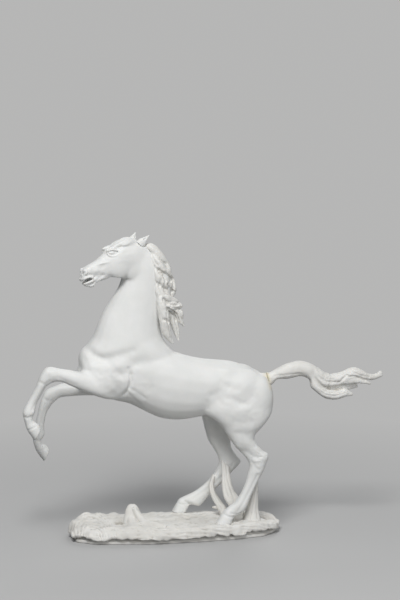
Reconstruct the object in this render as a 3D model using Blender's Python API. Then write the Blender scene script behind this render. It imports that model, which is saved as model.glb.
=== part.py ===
"""Bisque porcelain figurine of a prancing horse on a modelled ground base.

The figure is built as the maker builds it: a master horse is sculpted over a skeleton of
sections, divided into the casting sections that are stuck together with slip, and dressed
with the pieces pressed separately: mane, forelock, ears, tail and the branches that carry
the hind legs. X runs from the forehooves to the tail, Y to the far side, Z up.
"""

import math

import bmesh
import bpy
import numpy as np
from mathutils import Matrix, Vector

# Driving dimensions, in millimetres
MM = 0.001
GAP = 0.32
SLIP_SEAM = 0.3
WELD = 0.01

BASE_LENGTH = 215.5
BASE_WIDTH = 79.0
BASE_CENTRE_X = -26.8
BASE_PLATE = 6.0
PLATE_INSET = 4.0
UNDERCUT_GAP = 0.35
GROUND_THICKNESS = 9.3
BANK = 1.6
STUMP_HEIGHT = 18.0
STUMP_WIDTH = 20.0
BRANCH_WIDTH = 8.0
STEM_WIDTH = 6.5

WITHERS_HEIGHT = 175.0
BARREL_WIDTH = 59.0
HAUNCH_WIDTH = 60.0
CHEST_WIDTH = 55.0
NECK_WIDTH = 50.0
LEG_WIDTH = 13.0
HIND_TRACK = 42.0
FORE_TRACK = 40.0
HEAD_LENGTH = 71.0
HEAD_WIDTH = 26.0
HEAD_TURN = 16.0
EAR_LENGTH = 10.5
EAR_WIDTH = 5.2

FORELOCK_LENGTH = 38.0
MANE_STRAND = 4.3
TAIL_LENGTH = 121.0
TAIL_WIDTH = 17.0
GLUE_LINE = 1.2
GLUE_BEAD = 0.5

# Fineness of the sculpted surfaces, and the triangles that each is thinned to
MASTER_GRAIN = 1.25
HEAD_GRAIN = 0.5
LEG_GRAIN = 0.85
HAIR_GRAIN = 0.8
EAR_GRAIN = 0.45
RING = 20
TRIANGLES = {
    "body": 4400, "head": 3300, "leg": 700, "ear": 100, "forelock": 280, "mane_crest": 1120, "mane_lock": 190,
    "tail": 1000, "support_branch": 420, "support_stem": 150, "stump": 220,
}

# The sizes at which the skeleton's places below are drawn, and the scales that follow
DRAWN = {"withers": 175.0, "head": 71.0, "head_width": 26.0, "forelock": 38.0, "tail": 121.0}
UNIT = WITHERS_HEIGHT / DRAWN["withers"]
HEAD_UNIT = HEAD_LENGTH / DRAWN["head"]
TAIL_UNIT = TAIL_LENGTH / DRAWN["tail"]
GROUND_LEVEL = BASE_PLATE + UNDERCUT_GAP + GROUND_THICKNESS
TAIL_ROOT = (67.5, 141.5)


BISQUE = (0.78, 0.78, 0.755)
BISQUE_WARM = (0.72, 0.70, 0.65)
BISQUE_HAIR = (0.76, 0.745, 0.70)
OLD_ADHESIVE = (0.62, 0.52, 0.33)


def clear_scene():
    for leftover in list(bpy.data.objects):
        bpy.data.objects.remove(leftover, do_unlink=True)


def pottery(name, colour, roughness):
    made = bpy.data.materials.new(name)
    made.use_nodes = True
    shader = made.node_tree.nodes["Principled BSDF"]
    shader.inputs["Base Color"].default_value = (*colour, 1.0)
    shader.inputs["Roughness"].default_value = roughness
    shader.inputs["Metallic"].default_value = 0.0
    return made


# Sections and shells

def spline(rows, steps):
    """Catmull-Rom rows between the given rows."""
    rows = np.asarray(rows, float)
    ends = np.vstack([2 * rows[0] - rows[1], rows, 2 * rows[-1] - rows[-2]])
    out = []
    for i in range(1, len(ends) - 2):
        a, b, c, d = ends[i - 1 : i + 3]
        for k in range(steps):
            t = k / steps
            out.append(
                0.5 * (2 * b + (c - a) * t + (2 * a - 5 * b + 4 * c - d) * t**2
                       + (3 * b - a - 3 * c + d) * t**3)
            )
    out.append(ends[-2])
    return np.array(out)


def skin(rings):
    """Closed shell over a stack of equal rings."""
    count = len(rings)
    around = len(rings[0])
    points = np.concatenate(list(rings) + [rings[0].mean(0)[None], rings[-1].mean(0)[None]])
    faces = []
    for i in range(count - 1):
        for j in range(around):
            k = (j + 1) % around
            faces.append((i * around + j, i * around + k, (i + 1) * around + k, (i + 1) * around + j))
    first = count * around
    for j in range(around):
        k = (j + 1) % around
        faces.append((first, k, j))
        faces.append((first + 1, (count - 1) * around + j, (count - 1) * around + k))
    return points, faces


def loft(stations, square=2.2, steps=3):
    """Body through stations of (x, z) front or top, (x, z) back or bottom, half width and y."""
    rows = spline([(*a, *b, width, side) for a, b, width, side in stations], steps)
    turn = np.linspace(0, 2 * math.pi, RING, endpoint=False)
    along = np.sign(np.cos(turn)) * np.abs(np.cos(turn)) ** (2 / square)
    across = np.sign(np.sin(turn)) * np.abs(np.sin(turn)) ** (2 / square)
    rings = []
    for ax, az, bx, bz, width, side in rows:
        middle = np.array([(ax + bx) / 2, side, (az + bz) / 2])
        half = np.array([(ax - bx) / 2, 0, (az - bz) / 2])
        rings.append(middle + along[:, None] * half + across[:, None] * np.array([0, max(width, 0.3), 0]))
    return skin(rings)


def strand(path, radii, flat=1.0, steps=4):
    """Lock of hair along (x, y, z) points, flattened across the neck by flat."""
    rows = spline([(*p, r) for p, r in zip(path, radii)], steps)
    centres = rows[:, :3]
    heading = np.gradient(centres, axis=0)
    heading /= np.linalg.norm(heading, axis=1)[:, None]
    turn = np.linspace(0, 2 * math.pi, 12, endpoint=False)
    rings = []
    for centre, ahead, radius in zip(centres, heading, rows[:, 3]):
        side = np.array([0.0, 1.0, 0.0]) - ahead * ahead[1]
        side /= np.linalg.norm(side)
        over = np.cross(ahead, side)
        radius = max(radius, 0.25)
        rings.append(centre + radius * (np.cos(turn)[:, None] * over + flat * np.sin(turn)[:, None] * side))
    return skin(rings)


def ball(centre, radii, pitch=0.0, yaw=0.0):
    """Ellipsoid muscle, rising towards the tail by pitch and yawed in the top view, in degrees."""
    around, rows = 16, 10
    turn = Matrix.Rotation(math.radians(yaw), 3, "Z") @ Matrix.Rotation(math.radians(-pitch), 3, "Y")
    rings = []
    for i in range(rows):
        height = math.cos(math.pi * (i + 0.5) / rows)
        wide = math.sqrt(1 - height * height)
        ring = [
            Vector((radii[0] * wide * math.cos(t), radii[1] * wide * math.sin(t), radii[2] * height))
            for t in np.linspace(0, 2 * math.pi, around, endpoint=False)
        ]
        rings.append(np.array([turn @ p + Vector(centre) for p in ring]))
    return skin(rings)


def mirrored(shell):
    points, faces = shell
    return points * (1, -1, 1), [tuple(reversed(face)) for face in faces]


# Meshes and objects

def object_from(name, points, faces, glaze=None):
    mesh = bpy.data.meshes.new(name)
    mesh.from_pydata([tuple(p) for p in np.asarray(points) * MM], [], [tuple(map(int, f)) for f in faces])
    mesh.validate()
    made = bpy.data.objects.new(name, mesh)
    bpy.context.scene.collection.objects.link(made)
    work = bmesh.new()
    work.from_mesh(mesh)
    bmesh.ops.recalc_face_normals(work, faces=work.faces)
    work.to_mesh(mesh)
    work.free()
    if glaze:
        mesh.materials.append(glaze)
    return made


def settle(item):
    """Replace an object's mesh by what its modifiers make of it."""
    bpy.context.view_layer.update()
    graph = bpy.context.evaluated_depsgraph_get()
    mesh = bpy.data.meshes.new_from_object(item.evaluated_get(graph))
    item.modifiers.clear()
    item.data = mesh
    return item


def fused(name, shells, grain):
    """One skin over overlapping shells."""
    points, faces = [], []
    start = 0
    for shell_points, shell_faces in shells:
        points.append(shell_points)
        faces.extend(tuple(i + start for i in face) for face in shell_faces)
        start += len(shell_points)
    item = object_from(name, np.concatenate(points), faces)
    remesh = item.modifiers.new("clay", "REMESH")
    remesh.mode = "VOXEL"
    remesh.voxel_size = grain * MM
    remesh.adaptivity = 0.0
    return settle(item)


def corners_of(item):
    points = np.empty(len(item.data.vertices) * 3)
    item.data.vertices.foreach_get("co", points)
    return points.reshape(-1, 3) / MM


def put_corners(item, points):
    item.data.vertices.foreach_set("co", (points * MM).ravel())
    item.data.update()


def edges_of(item):
    ends = np.empty(len(item.data.edges) * 2, int)
    item.data.edges.foreach_get("vertices", ends)
    return ends.reshape(-1, 2)


def normals_of(item):
    normals = np.empty(len(item.data.vertices) * 3)
    item.data.vertex_normals.foreach_get("vector", normals)
    return normals.reshape(-1, 3)


def smooth(item, rounds, weight):
    """Sponge the clay: pull each point to the mean of its neighbours, by weight."""
    points = corners_of(item)
    ends = edges_of(item)
    count = len(points)
    degree = np.bincount(ends.ravel(), minlength=count)
    for _ in range(rounds):
        for axis in range(3):
            place = points[:, axis]
            total = np.bincount(ends[:, 0], place[ends[:, 1]], count)
            total += np.bincount(ends[:, 1], place[ends[:, 0]], count)
            points[:, axis] = place + (total / degree - place) * weight
    put_corners(item, points)


def distance_to(points, path):
    """Distance of each point to an open line."""
    best = np.full(len(points), 1e9)
    path = np.asarray(path, float)
    for a, b in zip(path[:-1], path[1:]):
        along = np.clip(((points - a) @ (b - a)) / ((b - a) @ (b - a)), 0, 1)
        best = np.minimum(best, np.linalg.norm(points - a - along[:, None] * (b - a), axis=1))
    return best


def stroke(item, path, width, height):
    """Model a rounded ridge, or with a negative height a furrow, along a line."""
    points = corners_of(item)
    push = height * np.exp(-((distance_to(points, path) / width) ** 2))
    put_corners(item, points + normals_of(item) * push[:, None])


def engrave(item, lines, sides=(-1, 1), frame=None):
    """Model lines seen square from the side: each has a width, a height and its points.

    A height below zero is a furrow. The frame gives a point's place in the side view, and the
    side that it faces, for a form that is turned.
    """
    points = corners_of(item)
    normals = normals_of(item)
    flat, out, facing = (frame or side_view)(points, normals)
    shown = np.zeros(len(points))
    for side in sides:
        shown = np.maximum(shown, np.clip(1.7 * side * facing, 0, 1) * (side * out > 0))
    push = np.zeros(len(points))
    for width, height, line in lines:
        push += height * np.exp(-((distance_to(flat, line) / width) ** 2))
    put_corners(item, points + normals * (push * shown * UNIT)[:, None])


def side_view(points, normals):
    """Places (x, z) in the figure's own units, how far out, and how far each faces that way."""
    flat = np.column_stack([points[:, 0] / UNIT, (points[:, 2] - GROUND_LEVEL) / UNIT])
    return flat, points[:, 1], normals[:, 1]


def either_side(points, normals):
    """The side view of a form that stands on one side of the middle, modelled on both faces."""
    flat, _, facing = side_view(points, normals)
    return flat, np.sign(facing), facing


def thinned(item, triangles):
    """Fewer triangles, with the finest left where the form turns most."""
    have = sum(len(face.vertices) - 2 for face in item.data.polygons)
    decimate = item.modifiers.new("thin", "DECIMATE")
    decimate.ratio = min(1.0, triangles / have)
    return settle(item)


def faceted(item):
    """Flat triangles, with no needle, pinched edge or loose thread left by a cut."""
    work = bmesh.new()
    work.from_mesh(item.data)
    bmesh.ops.remove_doubles(work, verts=work.verts, dist=WELD * MM)
    bmesh.ops.dissolve_degenerate(work, edges=work.edges, dist=WELD * MM)
    bmesh.ops.triangulate(work, faces=work.faces)
    bmesh.ops.collapse(work, edges=[edge for edge in work.edges if len(edge.link_faces) > 2])
    bmesh.ops.delete(work, geom=[edge for edge in work.edges if not edge.link_faces], context="EDGES")
    bmesh.ops.delete(work, geom=[vert for vert in work.verts if not vert.link_faces], context="VERTS")
    work.to_mesh(item.data)
    work.free()
    return item


def carve(item, cutter, operation="DIFFERENCE"):
    """Cut one form with another; where a cutter folds over itself the cut is made again, minding the fold."""
    cutter.hide_render = True
    cutter.display_type = "WIRE"
    uncut = item.data.copy()
    for mind_folds in (False, True):
        item.data = uncut.copy()
        boolean = item.modifiers.new("cut", "BOOLEAN")
        boolean.operation = operation
        boolean.solver = "EXACT"
        boolean.use_self = mind_folds
        boolean.object = cutter
        settle(item)
        if len(item.data.polygons) > 0:
            break
    bpy.data.meshes.remove(uncut)
    return faceted(item)


def copy_of(item, name):
    made = bpy.data.objects.new(name, item.data.copy())
    bpy.context.scene.collection.objects.link(made)
    return made


def grown(item, by=GAP):
    """The same form, larger all round by a gap."""
    made = copy_of(item, item.name + "_room")
    put_corners(made, corners_of(made) + normals_of(made) * by)
    return made


def boxes_meet(one, other):
    """Whether the boxes around two forms overlap, so that one could cut the other."""
    a = corners_of(one)
    b = corners_of(other)
    return bool(np.all(a.min(0) < b.max(0)) and np.all(b.min(0) < a.max(0)))


def one_body(item):
    """Drop the crumbs that a cut leaves, and keep the largest body."""
    work = bmesh.new()
    work.from_mesh(item.data)
    left = set(work.verts)
    bodies = []
    while left:
        reached = {left.pop()}
        edge_of_body = list(reached)
        while edge_of_body:
            near = {edge.other_vert(vert) for vert in edge_of_body for edge in vert.link_edges} - reached
            reached |= near
            edge_of_body = list(near)
        left -= reached
        bodies.append(reached)
    keep = max(bodies, key=len)
    bmesh.ops.delete(work, geom=[vert for vert in work.verts if vert not in keep], context="VERTS")
    work.to_mesh(item.data)
    work.free()
    return item


def block(name, origin, heading, size):
    """Box with one face through origin, reaching along heading (x, z) in the side view.

    Its size is its depth, its two ends in y, and its reach over and under the origin.
    """
    ahead = Vector((heading[0], 0, heading[1])).normalized()
    over = Vector((-ahead.z, 0, ahead.x)) * (1 if ahead.x > 0 or ahead.z > 0.99 else -1)
    start = Vector((origin[0], 0, origin[1]))
    points = []
    for depth in (0, size[0]):
        for side in (size[1], size[2]):
            for height in (-size[4], size[3]):
                points.append(start + ahead * depth + over * height + Vector((0, side, 0)))
    faces = [(0, 1, 3, 2), (4, 6, 7, 5), (0, 4, 5, 1), (2, 3, 7, 6), (0, 2, 6, 4), (1, 5, 7, 3)]
    return object_from(name, [tuple(p) for p in points], faces)


def finish(item, glaze, angle=40.0):
    item.data.materials.clear()
    item.data.materials.append(glaze)
    item.data.shade_smooth()
    item.data.set_sharp_from_angle(angle=math.radians(angle))


def discard(*items):
    for item in items:
        bpy.data.objects.remove(item, do_unlink=True)


# The skeleton, with x from the middle and z above the ground, in units of the figure

def at(x, z):
    return x * UNIT, GROUND_LEVEL + z * UNIT


def body_loft(stations, width, square=2.2):
    """Stations with their half widths and y as shares of the given overall width."""
    rows = [(at(*a), at(*b), w * width, y * width) for a, b, w, y in stations]
    return loft(rows, square)


def trunk_shells():
    barrel = [
        ((-121, 173), (-121.7, 157), 0.16, 0),
        ((-117.7, 172), (-118, 146), 0.33, 0),
        ((-104, 176), (-104, 134.5), 0.43, 0),
        ((-89, 177), (-90, 126.5), 0.46, 0),
        ((-73, 181), (-73, 122), 0.48, 0),
        ((-56, 179.5), (-56, 113), 0.485, 0),
        ((-41, 177), (-41, 106), 0.495, 0),
        ((-23.5, 172), (-23.5, 103.5), 0.5, 0),
        ((-5, 165.5), (-5, 105.5), 0.485, 0),
        ((12, 162.5), (12, 108), 0.465, 0),
        ((28.5, 160.5), (28.5, 110), 0.46, 0),
        ((44, 156), (44, 112), 0.42, 0),
        ((57, 149.6), (57, 112), 0.34, 0),
        ((67.3, 144), (67.3, 114), 0.22, 0),
        ((70.2, 135), (70.2, 121), 0.1, 0),
    ]
    dock = [
        ((54, 149), (60, 131), 0.13, 0),
        ((61, 148.5), (66, 134), 0.1, 0),
        ((70, 148), (74, 135.5), 0.095, 0),
    ]
    return [body_loft(barrel, BARREL_WIDTH, 2.3), body_loft(dock, BARREL_WIDTH)]


def muscle(x, y, z, long, thick, deep, pitch, yaw=0.0):
    px, pz = at(x, z)
    return ball((px, y, pz), (long * UNIT, thick * UNIT, deep * UNIT), pitch, yaw)


def paired_muscles():
    fore = CHEST_WIDTH / 2
    rear = HAUNCH_WIDTH / 2
    near = [
        muscle(-86, 12 - fore, 160, 30, 12, 14, 38),
        muscle(-100, 11 - fore, 147, 19, 11.5, 14, -32),
        muscle(-109.5, 15 - fore, 158, 12, 11, 15, 0, 25),
        muscle(-66, 13 - fore, 148, 22, 12, 19, 15),
        muscle(33, 15 - rear, 130, 32, 15, 22.5, 38),
        muscle(56.6, 14 - rear, 125, 15.8, 13, 25, 0),
        muscle(14, 14 - rear, 122, 17, 12, 12, 50),
        muscle(28, 18 - rear, 152.5, 17, 11, 6, -14),
        muscle(-20, 15 - fore, 128, 34, 12, 20, 4),
    ]
    return near + [mirrored(shell) for shell in near]


SHOULDER_LINES = [
    (3.6, -1.2, [(-116.5, 179.5), (-101.5, 171.5), (-86.5, 175), (-71, 179)]),
    (2.9, -0.5, [(-109.5, 173.5), (-102.5, 171.5), (-95.5, 172)]),
    (5.5, -0.6, [(-70.5, 179), (-62.5, 186), (-52.5, 188.5)]),
    (4.9, 0.5, [(-112.5, 182.5), (-100.5, 177.5), (-90.5, 180), (-80.5, 183.5)]),
    (3.6, -1, [(-88, 158.5), (-83, 156), (-77, 158.5)]),
    (2.9, -0.6, [(-83.5, 155.5), (-82, 151.5)]),
    (2.2, -1.6, [(-76, 161.5), (-74, 155.5), (-74, 149.5), (-76, 142.5), (-81, 134)]),
    (3.6, -0.8, [(-72, 163), (-69.5, 165)]),
    (5.5, -0.7, [(-72, 154.5), (-65, 151), (-58, 146.5), (-54, 143)]),
    (2.5, -0.6, [(-118.5, 170), (-117, 166), (-116, 161.5)]),
    (2.1, -0.8, [(-125, 161.5), (-120, 160.5), (-115, 160)]),
    (3.2, 0.6, [(-100, 156), (-96, 150), (-92.5, 143)]),
    (3.4, 0.7, [(-91, 154), (-86, 152), (-81.5, 149)]),
    (3.9, -0.5, [(-116.5, 148.5), (-109, 151.5), (-102, 149)]),
    (3.2, -0.6, [(-91.5, 145.5), (-87, 142)]),
    (5.2, 0.5, [(-89, 168), (-84, 165.5), (-79, 161.5)]),
    (2.6, 0.6, [(-77, 139.5), (-70, 133.5), (-63, 126)]),
]


HAUNCH_LINES = [
    (3.6, -1.2, [(17, 144), (23, 141)]),
    (3.9, -0.9, [(26, 139.5), (32.5, 137.5)]),
    (3.6, -1, [(7, 132.5), (11, 133.5), (15, 136)]),
    (3.4, -1, [(23, 129), (30.5, 127), (36.5, 123), (44.5, 122)]),
    (2.9, -0.5, [(35.5, 123.5), (42.5, 122)]),
    (5.5, -0.7, [(42.5, 133.5), (47, 129)]),
    (2.5, -0.9, [(2.5, 125), (3, 118.5)]),
    (3.1, -0.6, [(14, 128), (17, 124)]),
    (4.8, 0.6, [(7, 114), (14, 116), (21, 117.5)]),
    (4.8, 0.6, [(30.5, 113.5), (38.5, 115), (44.5, 118.5)]),
    (3.9, 0.7, [(17.5, 104.5), (24.5, 104.5)]),
    (4.7, -1, [(30.5, 104.5), (39, 103.5), (47, 104.5)]),
    (6.1, 0.6, [(7, 143), (12, 143)]),
    (6.8, -0.8, [(-1, 137), (1, 129)]),
    (3.4, -0.9, [(33.5, 92.5), (43, 91), (52, 93)]),
]


def neck_shells():
    neck = [
        ((-118.7, 156), (-19, 156), 0.45, 0),
        ((-118.2, 176), (-25, 171), 0.51, 0),
        ((-108.8, 190), (-36, 184), 0.465, 0),
        ((-103.8, 202), (-40, 196.5), 0.405, 0),
        ((-98.5, 214), (-39.5, 210.5), 0.355, 0),
        ((-92, 225), (-39, 225.5), 0.31, 0),
        ((-83.3, 238), (-38.5, 242), 0.27, 0),
        ((-79.0, 250), (-39.5, 257), 0.235, 0),
        ((-77.5, 262), (-44.5, 269), 0.205, 0),
        ((-73, 272), (-52, 278), 0.17, 0),
    ]
    return [body_loft(neck, NECK_WIDTH, 2.1)]


def leg_loft(stations, track, side):
    """Leg whose y is a share of the half track, on the given side."""
    rows = [(at(*a), at(*b), w * LEG_WIDTH, side * y * track / 2) for a, b, w, y in stations]
    return loft(rows, 2.3)


def near_hind():
    thigh = [
        ((10, 148), (60, 142), 0.85, 0.55),
        ((-1, 131), (71, 125.5), 1.1, 0.7),
        ((1, 114.5), (70.5, 110), 1.1, 0.8),
        ((16, 101), (62, 98.5), 0.95, 0.86),
        ((25, 88), (52.5, 87.5), 0.72, 0.9),
        ((33, 76.5), (54.8, 79), 0.58, 0.93),
        ((39, 70.5), (61, 72), 0.5, 0.95),
        ((44.3, 64), (66.7, 67.5), 0.53, 0.95),
        ((46.5, 57.5), (62.5, 54.5), 0.48, 0.97),
        ((45.5, 49.5), (58, 46), 0.39, 1.0),
        ((42.5, 40), (53.2, 36.5), 0.35, 1.02),
        ((38, 30), (48.5, 27), 0.36, 1.05),
        ((32, 21.5), (42.8, 13.5), 0.47, 1.07),
        ((26.5, 17.5), (35.5, 8), 0.4, 1.1),
        ((20.5, 12.5), (30.5, 6), 0.48, 1.12),
        ((11.5, -0.2), (27.5, -0.6), 0.6, 1.14),
    ]
    return leg_loft(thigh, HIND_TRACK, -1)


def off_hind():
    thigh = [
        ((10, 148), (60, 142), 0.85, 0.55),
        ((-1, 132), (70, 125.5), 1.05, 0.7),
        ((0, 116), (64, 112), 1.08, 0.8),
        ((5.3, 100), (48, 98.5), 0.92, 0.86),
        ((8.8, 86.5), (36.5, 84.5), 0.7, 0.9),
        ((12.3, 76), (35, 74.5), 0.58, 0.95),
        ((18, 67), (37.5, 65), 0.5, 0.98),
        ((22.5, 58.5), (43, 57), 0.5, 1.0),
        ((23.3, 52.5), (46, 52), 0.5, 1.0),
        ((22.2, 48.3), (37, 42), 0.45, 1.02),
        ((18.2, 40.5), (28.5, 33), 0.37, 1.05),
        ((9.5, 31), (18.5, 22.5), 0.35, 1.07),
        ((-1, 23), (9, 12.5), 0.37, 1.1),
        ((-10.5, 18.5), (3.5, 7.2), 0.47, 1.12),
        ((-16.3, 15.8), (-4.5, 8.8), 0.4, 1.14),
        ((-19, 13), (-7, 8), 0.48, 1.14),
        ((-25, 2), (-10.5, 1.6), 0.6, 1.14),
    ]
    return leg_loft(thigh, HIND_TRACK, 1)


def near_fore():
    forearm = [
        ((-94, 158), (-84, 129), 0.62, 0.7),
        ((-110.5, 156.5), (-96, 129.5), 0.78, 0.85),
        ((-121.5, 158.5), (-114, 136), 0.72, 0.95),
        ((-133.5, 161), (-128, 142.5), 0.62, 1.0),
        ((-144.5, 163), (-141, 149), 0.5, 1.02),
        ((-152.5, 165), (-148, 150), 0.51, 1.05),
        ((-158.5, 163.7), (-154, 148), 0.53, 1.05),
        ((-164, 156), (-158, 145), 0.47, 1.05),
        ((-167.5, 146.5), (-160.5, 140.5), 0.39, 1.05),
        ((-172.5, 137), (-164, 134), 0.35, 1.03),
        ((-177, 129), (-167.5, 127), 0.37, 1.0),
        ((-181, 120.5), (-169, 119.5), 0.47, 1.0),
        ((-180, 113.5), (-171.5, 114), 0.39, 1.0),
        ((-178.5, 107.5), (-169.5, 110.5), 0.38, 1.0),
        ((-176.8, 102), (-165.5, 107.5), 0.47, 1.0),
        ((-170, 91.5), (-163, 102.5), 0.5, 1.0),
    ]
    return leg_loft(forearm, FORE_TRACK, -1)


def off_fore():
    forearm = [
        ((-92, 156), (-84, 128), 0.62, 0.7),
        ((-104, 151.5), (-99, 127), 0.75, 0.85),
        ((-117, 143.5), (-117.5, 127.5), 0.65, 0.9),
        ((-127, 141), (-129.5, 127), 0.56, 0.95),
        ((-137.5, 140), (-139.5, 126), 0.5, 0.95),
        ((-145, 137.5), (-144.5, 122.5), 0.5, 0.95),
        ((-151.5, 135), (-148, 119), 0.52, 0.95),
        ((-156, 130.5), (-150, 116), 0.46, 0.93),
        ((-160, 120), (-152.5, 112.5), 0.39, 0.9),
        ((-162.5, 109.5), (-154, 108), 0.35, 0.88),
        ((-165.5, 98.5), (-156, 98), 0.37, 0.86),
        ((-168, 89.5), (-155.5, 89.5), 0.47, 0.85),
        ((-167, 82), (-159, 83.5), 0.39, 0.85),
        ((-165.5, 76), (-158, 79.5), 0.38, 0.85),
        ((-163, 70.5), (-154, 78), 0.47, 0.85),
        ((-156.5, 61.5), (-151, 74), 0.5, 0.85),
    ]
    return leg_loft(forearm, FORE_TRACK, 1)


LEG_LINES = {
    "near_hind_leg": [
        (3.0, -1.6, [(38.9, 74.1), (46.1, 70.2), (53.3, 66.9)]),
        (4.0, 0.9, [(39.7, 83.5), (46.9, 80.2), (55.1, 74.7)]),
        (1.7, -0.9, [(48.4, 62.2), (51.5, 56.9), (55.6, 53.7)]),
        (1.6, 0.8, [(50.4, 63.7), (59.6, 63.8)]),
        (1.5, -1.1, [(54.4, 48.8), (46.2, 32.6), (40.1, 22.6), (34.0, 12.5)]),
        (1.2, -0.8, [(27.0, 11.0), (33.0, 9.0), (37.5, 9.5)]),
        (1.2, -0.9, [(19.6, 10.2), (24.8, 7.4), (30.5, 7.0)]),
    ],
    "off_hind_leg": [
        (1.6, -1.0, [(38.0, 53.0), (30.0, 42.0), (17.0, 30.5), (6.0, 22.5), (-4.0, 16.0)]),
        (2.4, -1.1, [(12.5, 84.0), (17.6, 79.7)]),
        (2.2, -0.9, [(24.9, 78.3), (26.0, 60.6)]),
        (1.3, -0.8, [(-12.0, 13.5), (-8.0, 11.0), (-5.5, 10.5)]),
        (1.2, -0.9, [(-20.5, 11.5), (-14.5, 10.4), (-9.0, 10.0)]),
    ],
    "near_foreleg": [
        (1.5, -1.3, [(-179.4, 115.8), (-176.9, 115.2), (-172.9, 116.4)]),
        (1.1, -0.9, [(-176.9, 102.4), (-174.0, 103.8), (-169.0, 106.4)]),
        (1.5, -0.9, [(-158.7, 147.0), (-165.8, 134.2), (-171.9, 123.4)]),
        (1.6, -0.9, [(-164.6, 150.8), (-159.7, 148.6), (-154.7, 151.9)]),
        (2.4, 0.7, [(-156.0, 160.5), (-151.0, 157.0)]),
        (1.8, -0.7, [(-146.0, 155.0), (-138.0, 151.0), (-129.0, 147.5)]),
    ],
    "off_foreleg": [
        (1.6, -1.0, [(-153.8, 124.2), (-156.4, 113.1), (-159.0, 101.9)]),
        (1.3, -1.1, [(-165.3, 84.2), (-161.7, 83.3), (-159.2, 84.5)]),
        (1.1, -0.9, [(-163.4, 71.3), (-160.3, 73.5), (-154.2, 76.5)]),
        (1.6, -0.8, [(-157.0, 127.0), (-153.0, 124.5), (-149.0, 124.0)]),
    ],
}


# The head, in its own frame: u back from the muzzle, v up, w out from its middle plane


POLL = (-60.5, 0.0, 264.5)


def head_point(u, v, w=0.0):
    turn = math.radians(HEAD_TURN)
    x, z = at(POLL[0], POLL[2])
    u, v, w = u * HEAD_UNIT, v * HEAD_UNIT, w * HEAD_WIDTH / DRAWN["head_width"]
    along = u * math.cos(turn) - w * math.sin(turn)
    across = u * math.sin(turn) + w * math.cos(turn)
    return np.array([x + along, across, z + v])


def turned(shell):
    """Shell modelled in the head's frame, moved into the figure."""
    points, faces = shell
    return np.array([head_point(p[0], p[2], p[1]) for p in points]), faces


def head_view(points, normals):
    """The head's side view: (u, v), w, and how far each place faces along w."""
    turn = math.radians(HEAD_TURN)
    x, z = at(POLL[0], POLL[2])
    along = points[:, 0] - x
    u = (along * math.cos(turn) + points[:, 1] * math.sin(turn)) / HEAD_UNIT
    w = -along * math.sin(turn) + points[:, 1] * math.cos(turn)
    facing = -normals[:, 0] * math.sin(turn) + normals[:, 1] * math.cos(turn)
    return np.column_stack([u, (points[:, 2] - z) / HEAD_UNIT]), w, facing


def head_cord(points, radii, flat=1.0):
    """Thin rounded form along (u, v, w) points of the head."""
    return strand([head_point(*p) for p in points], [r * HEAD_UNIT for r in radii], flat)


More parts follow.
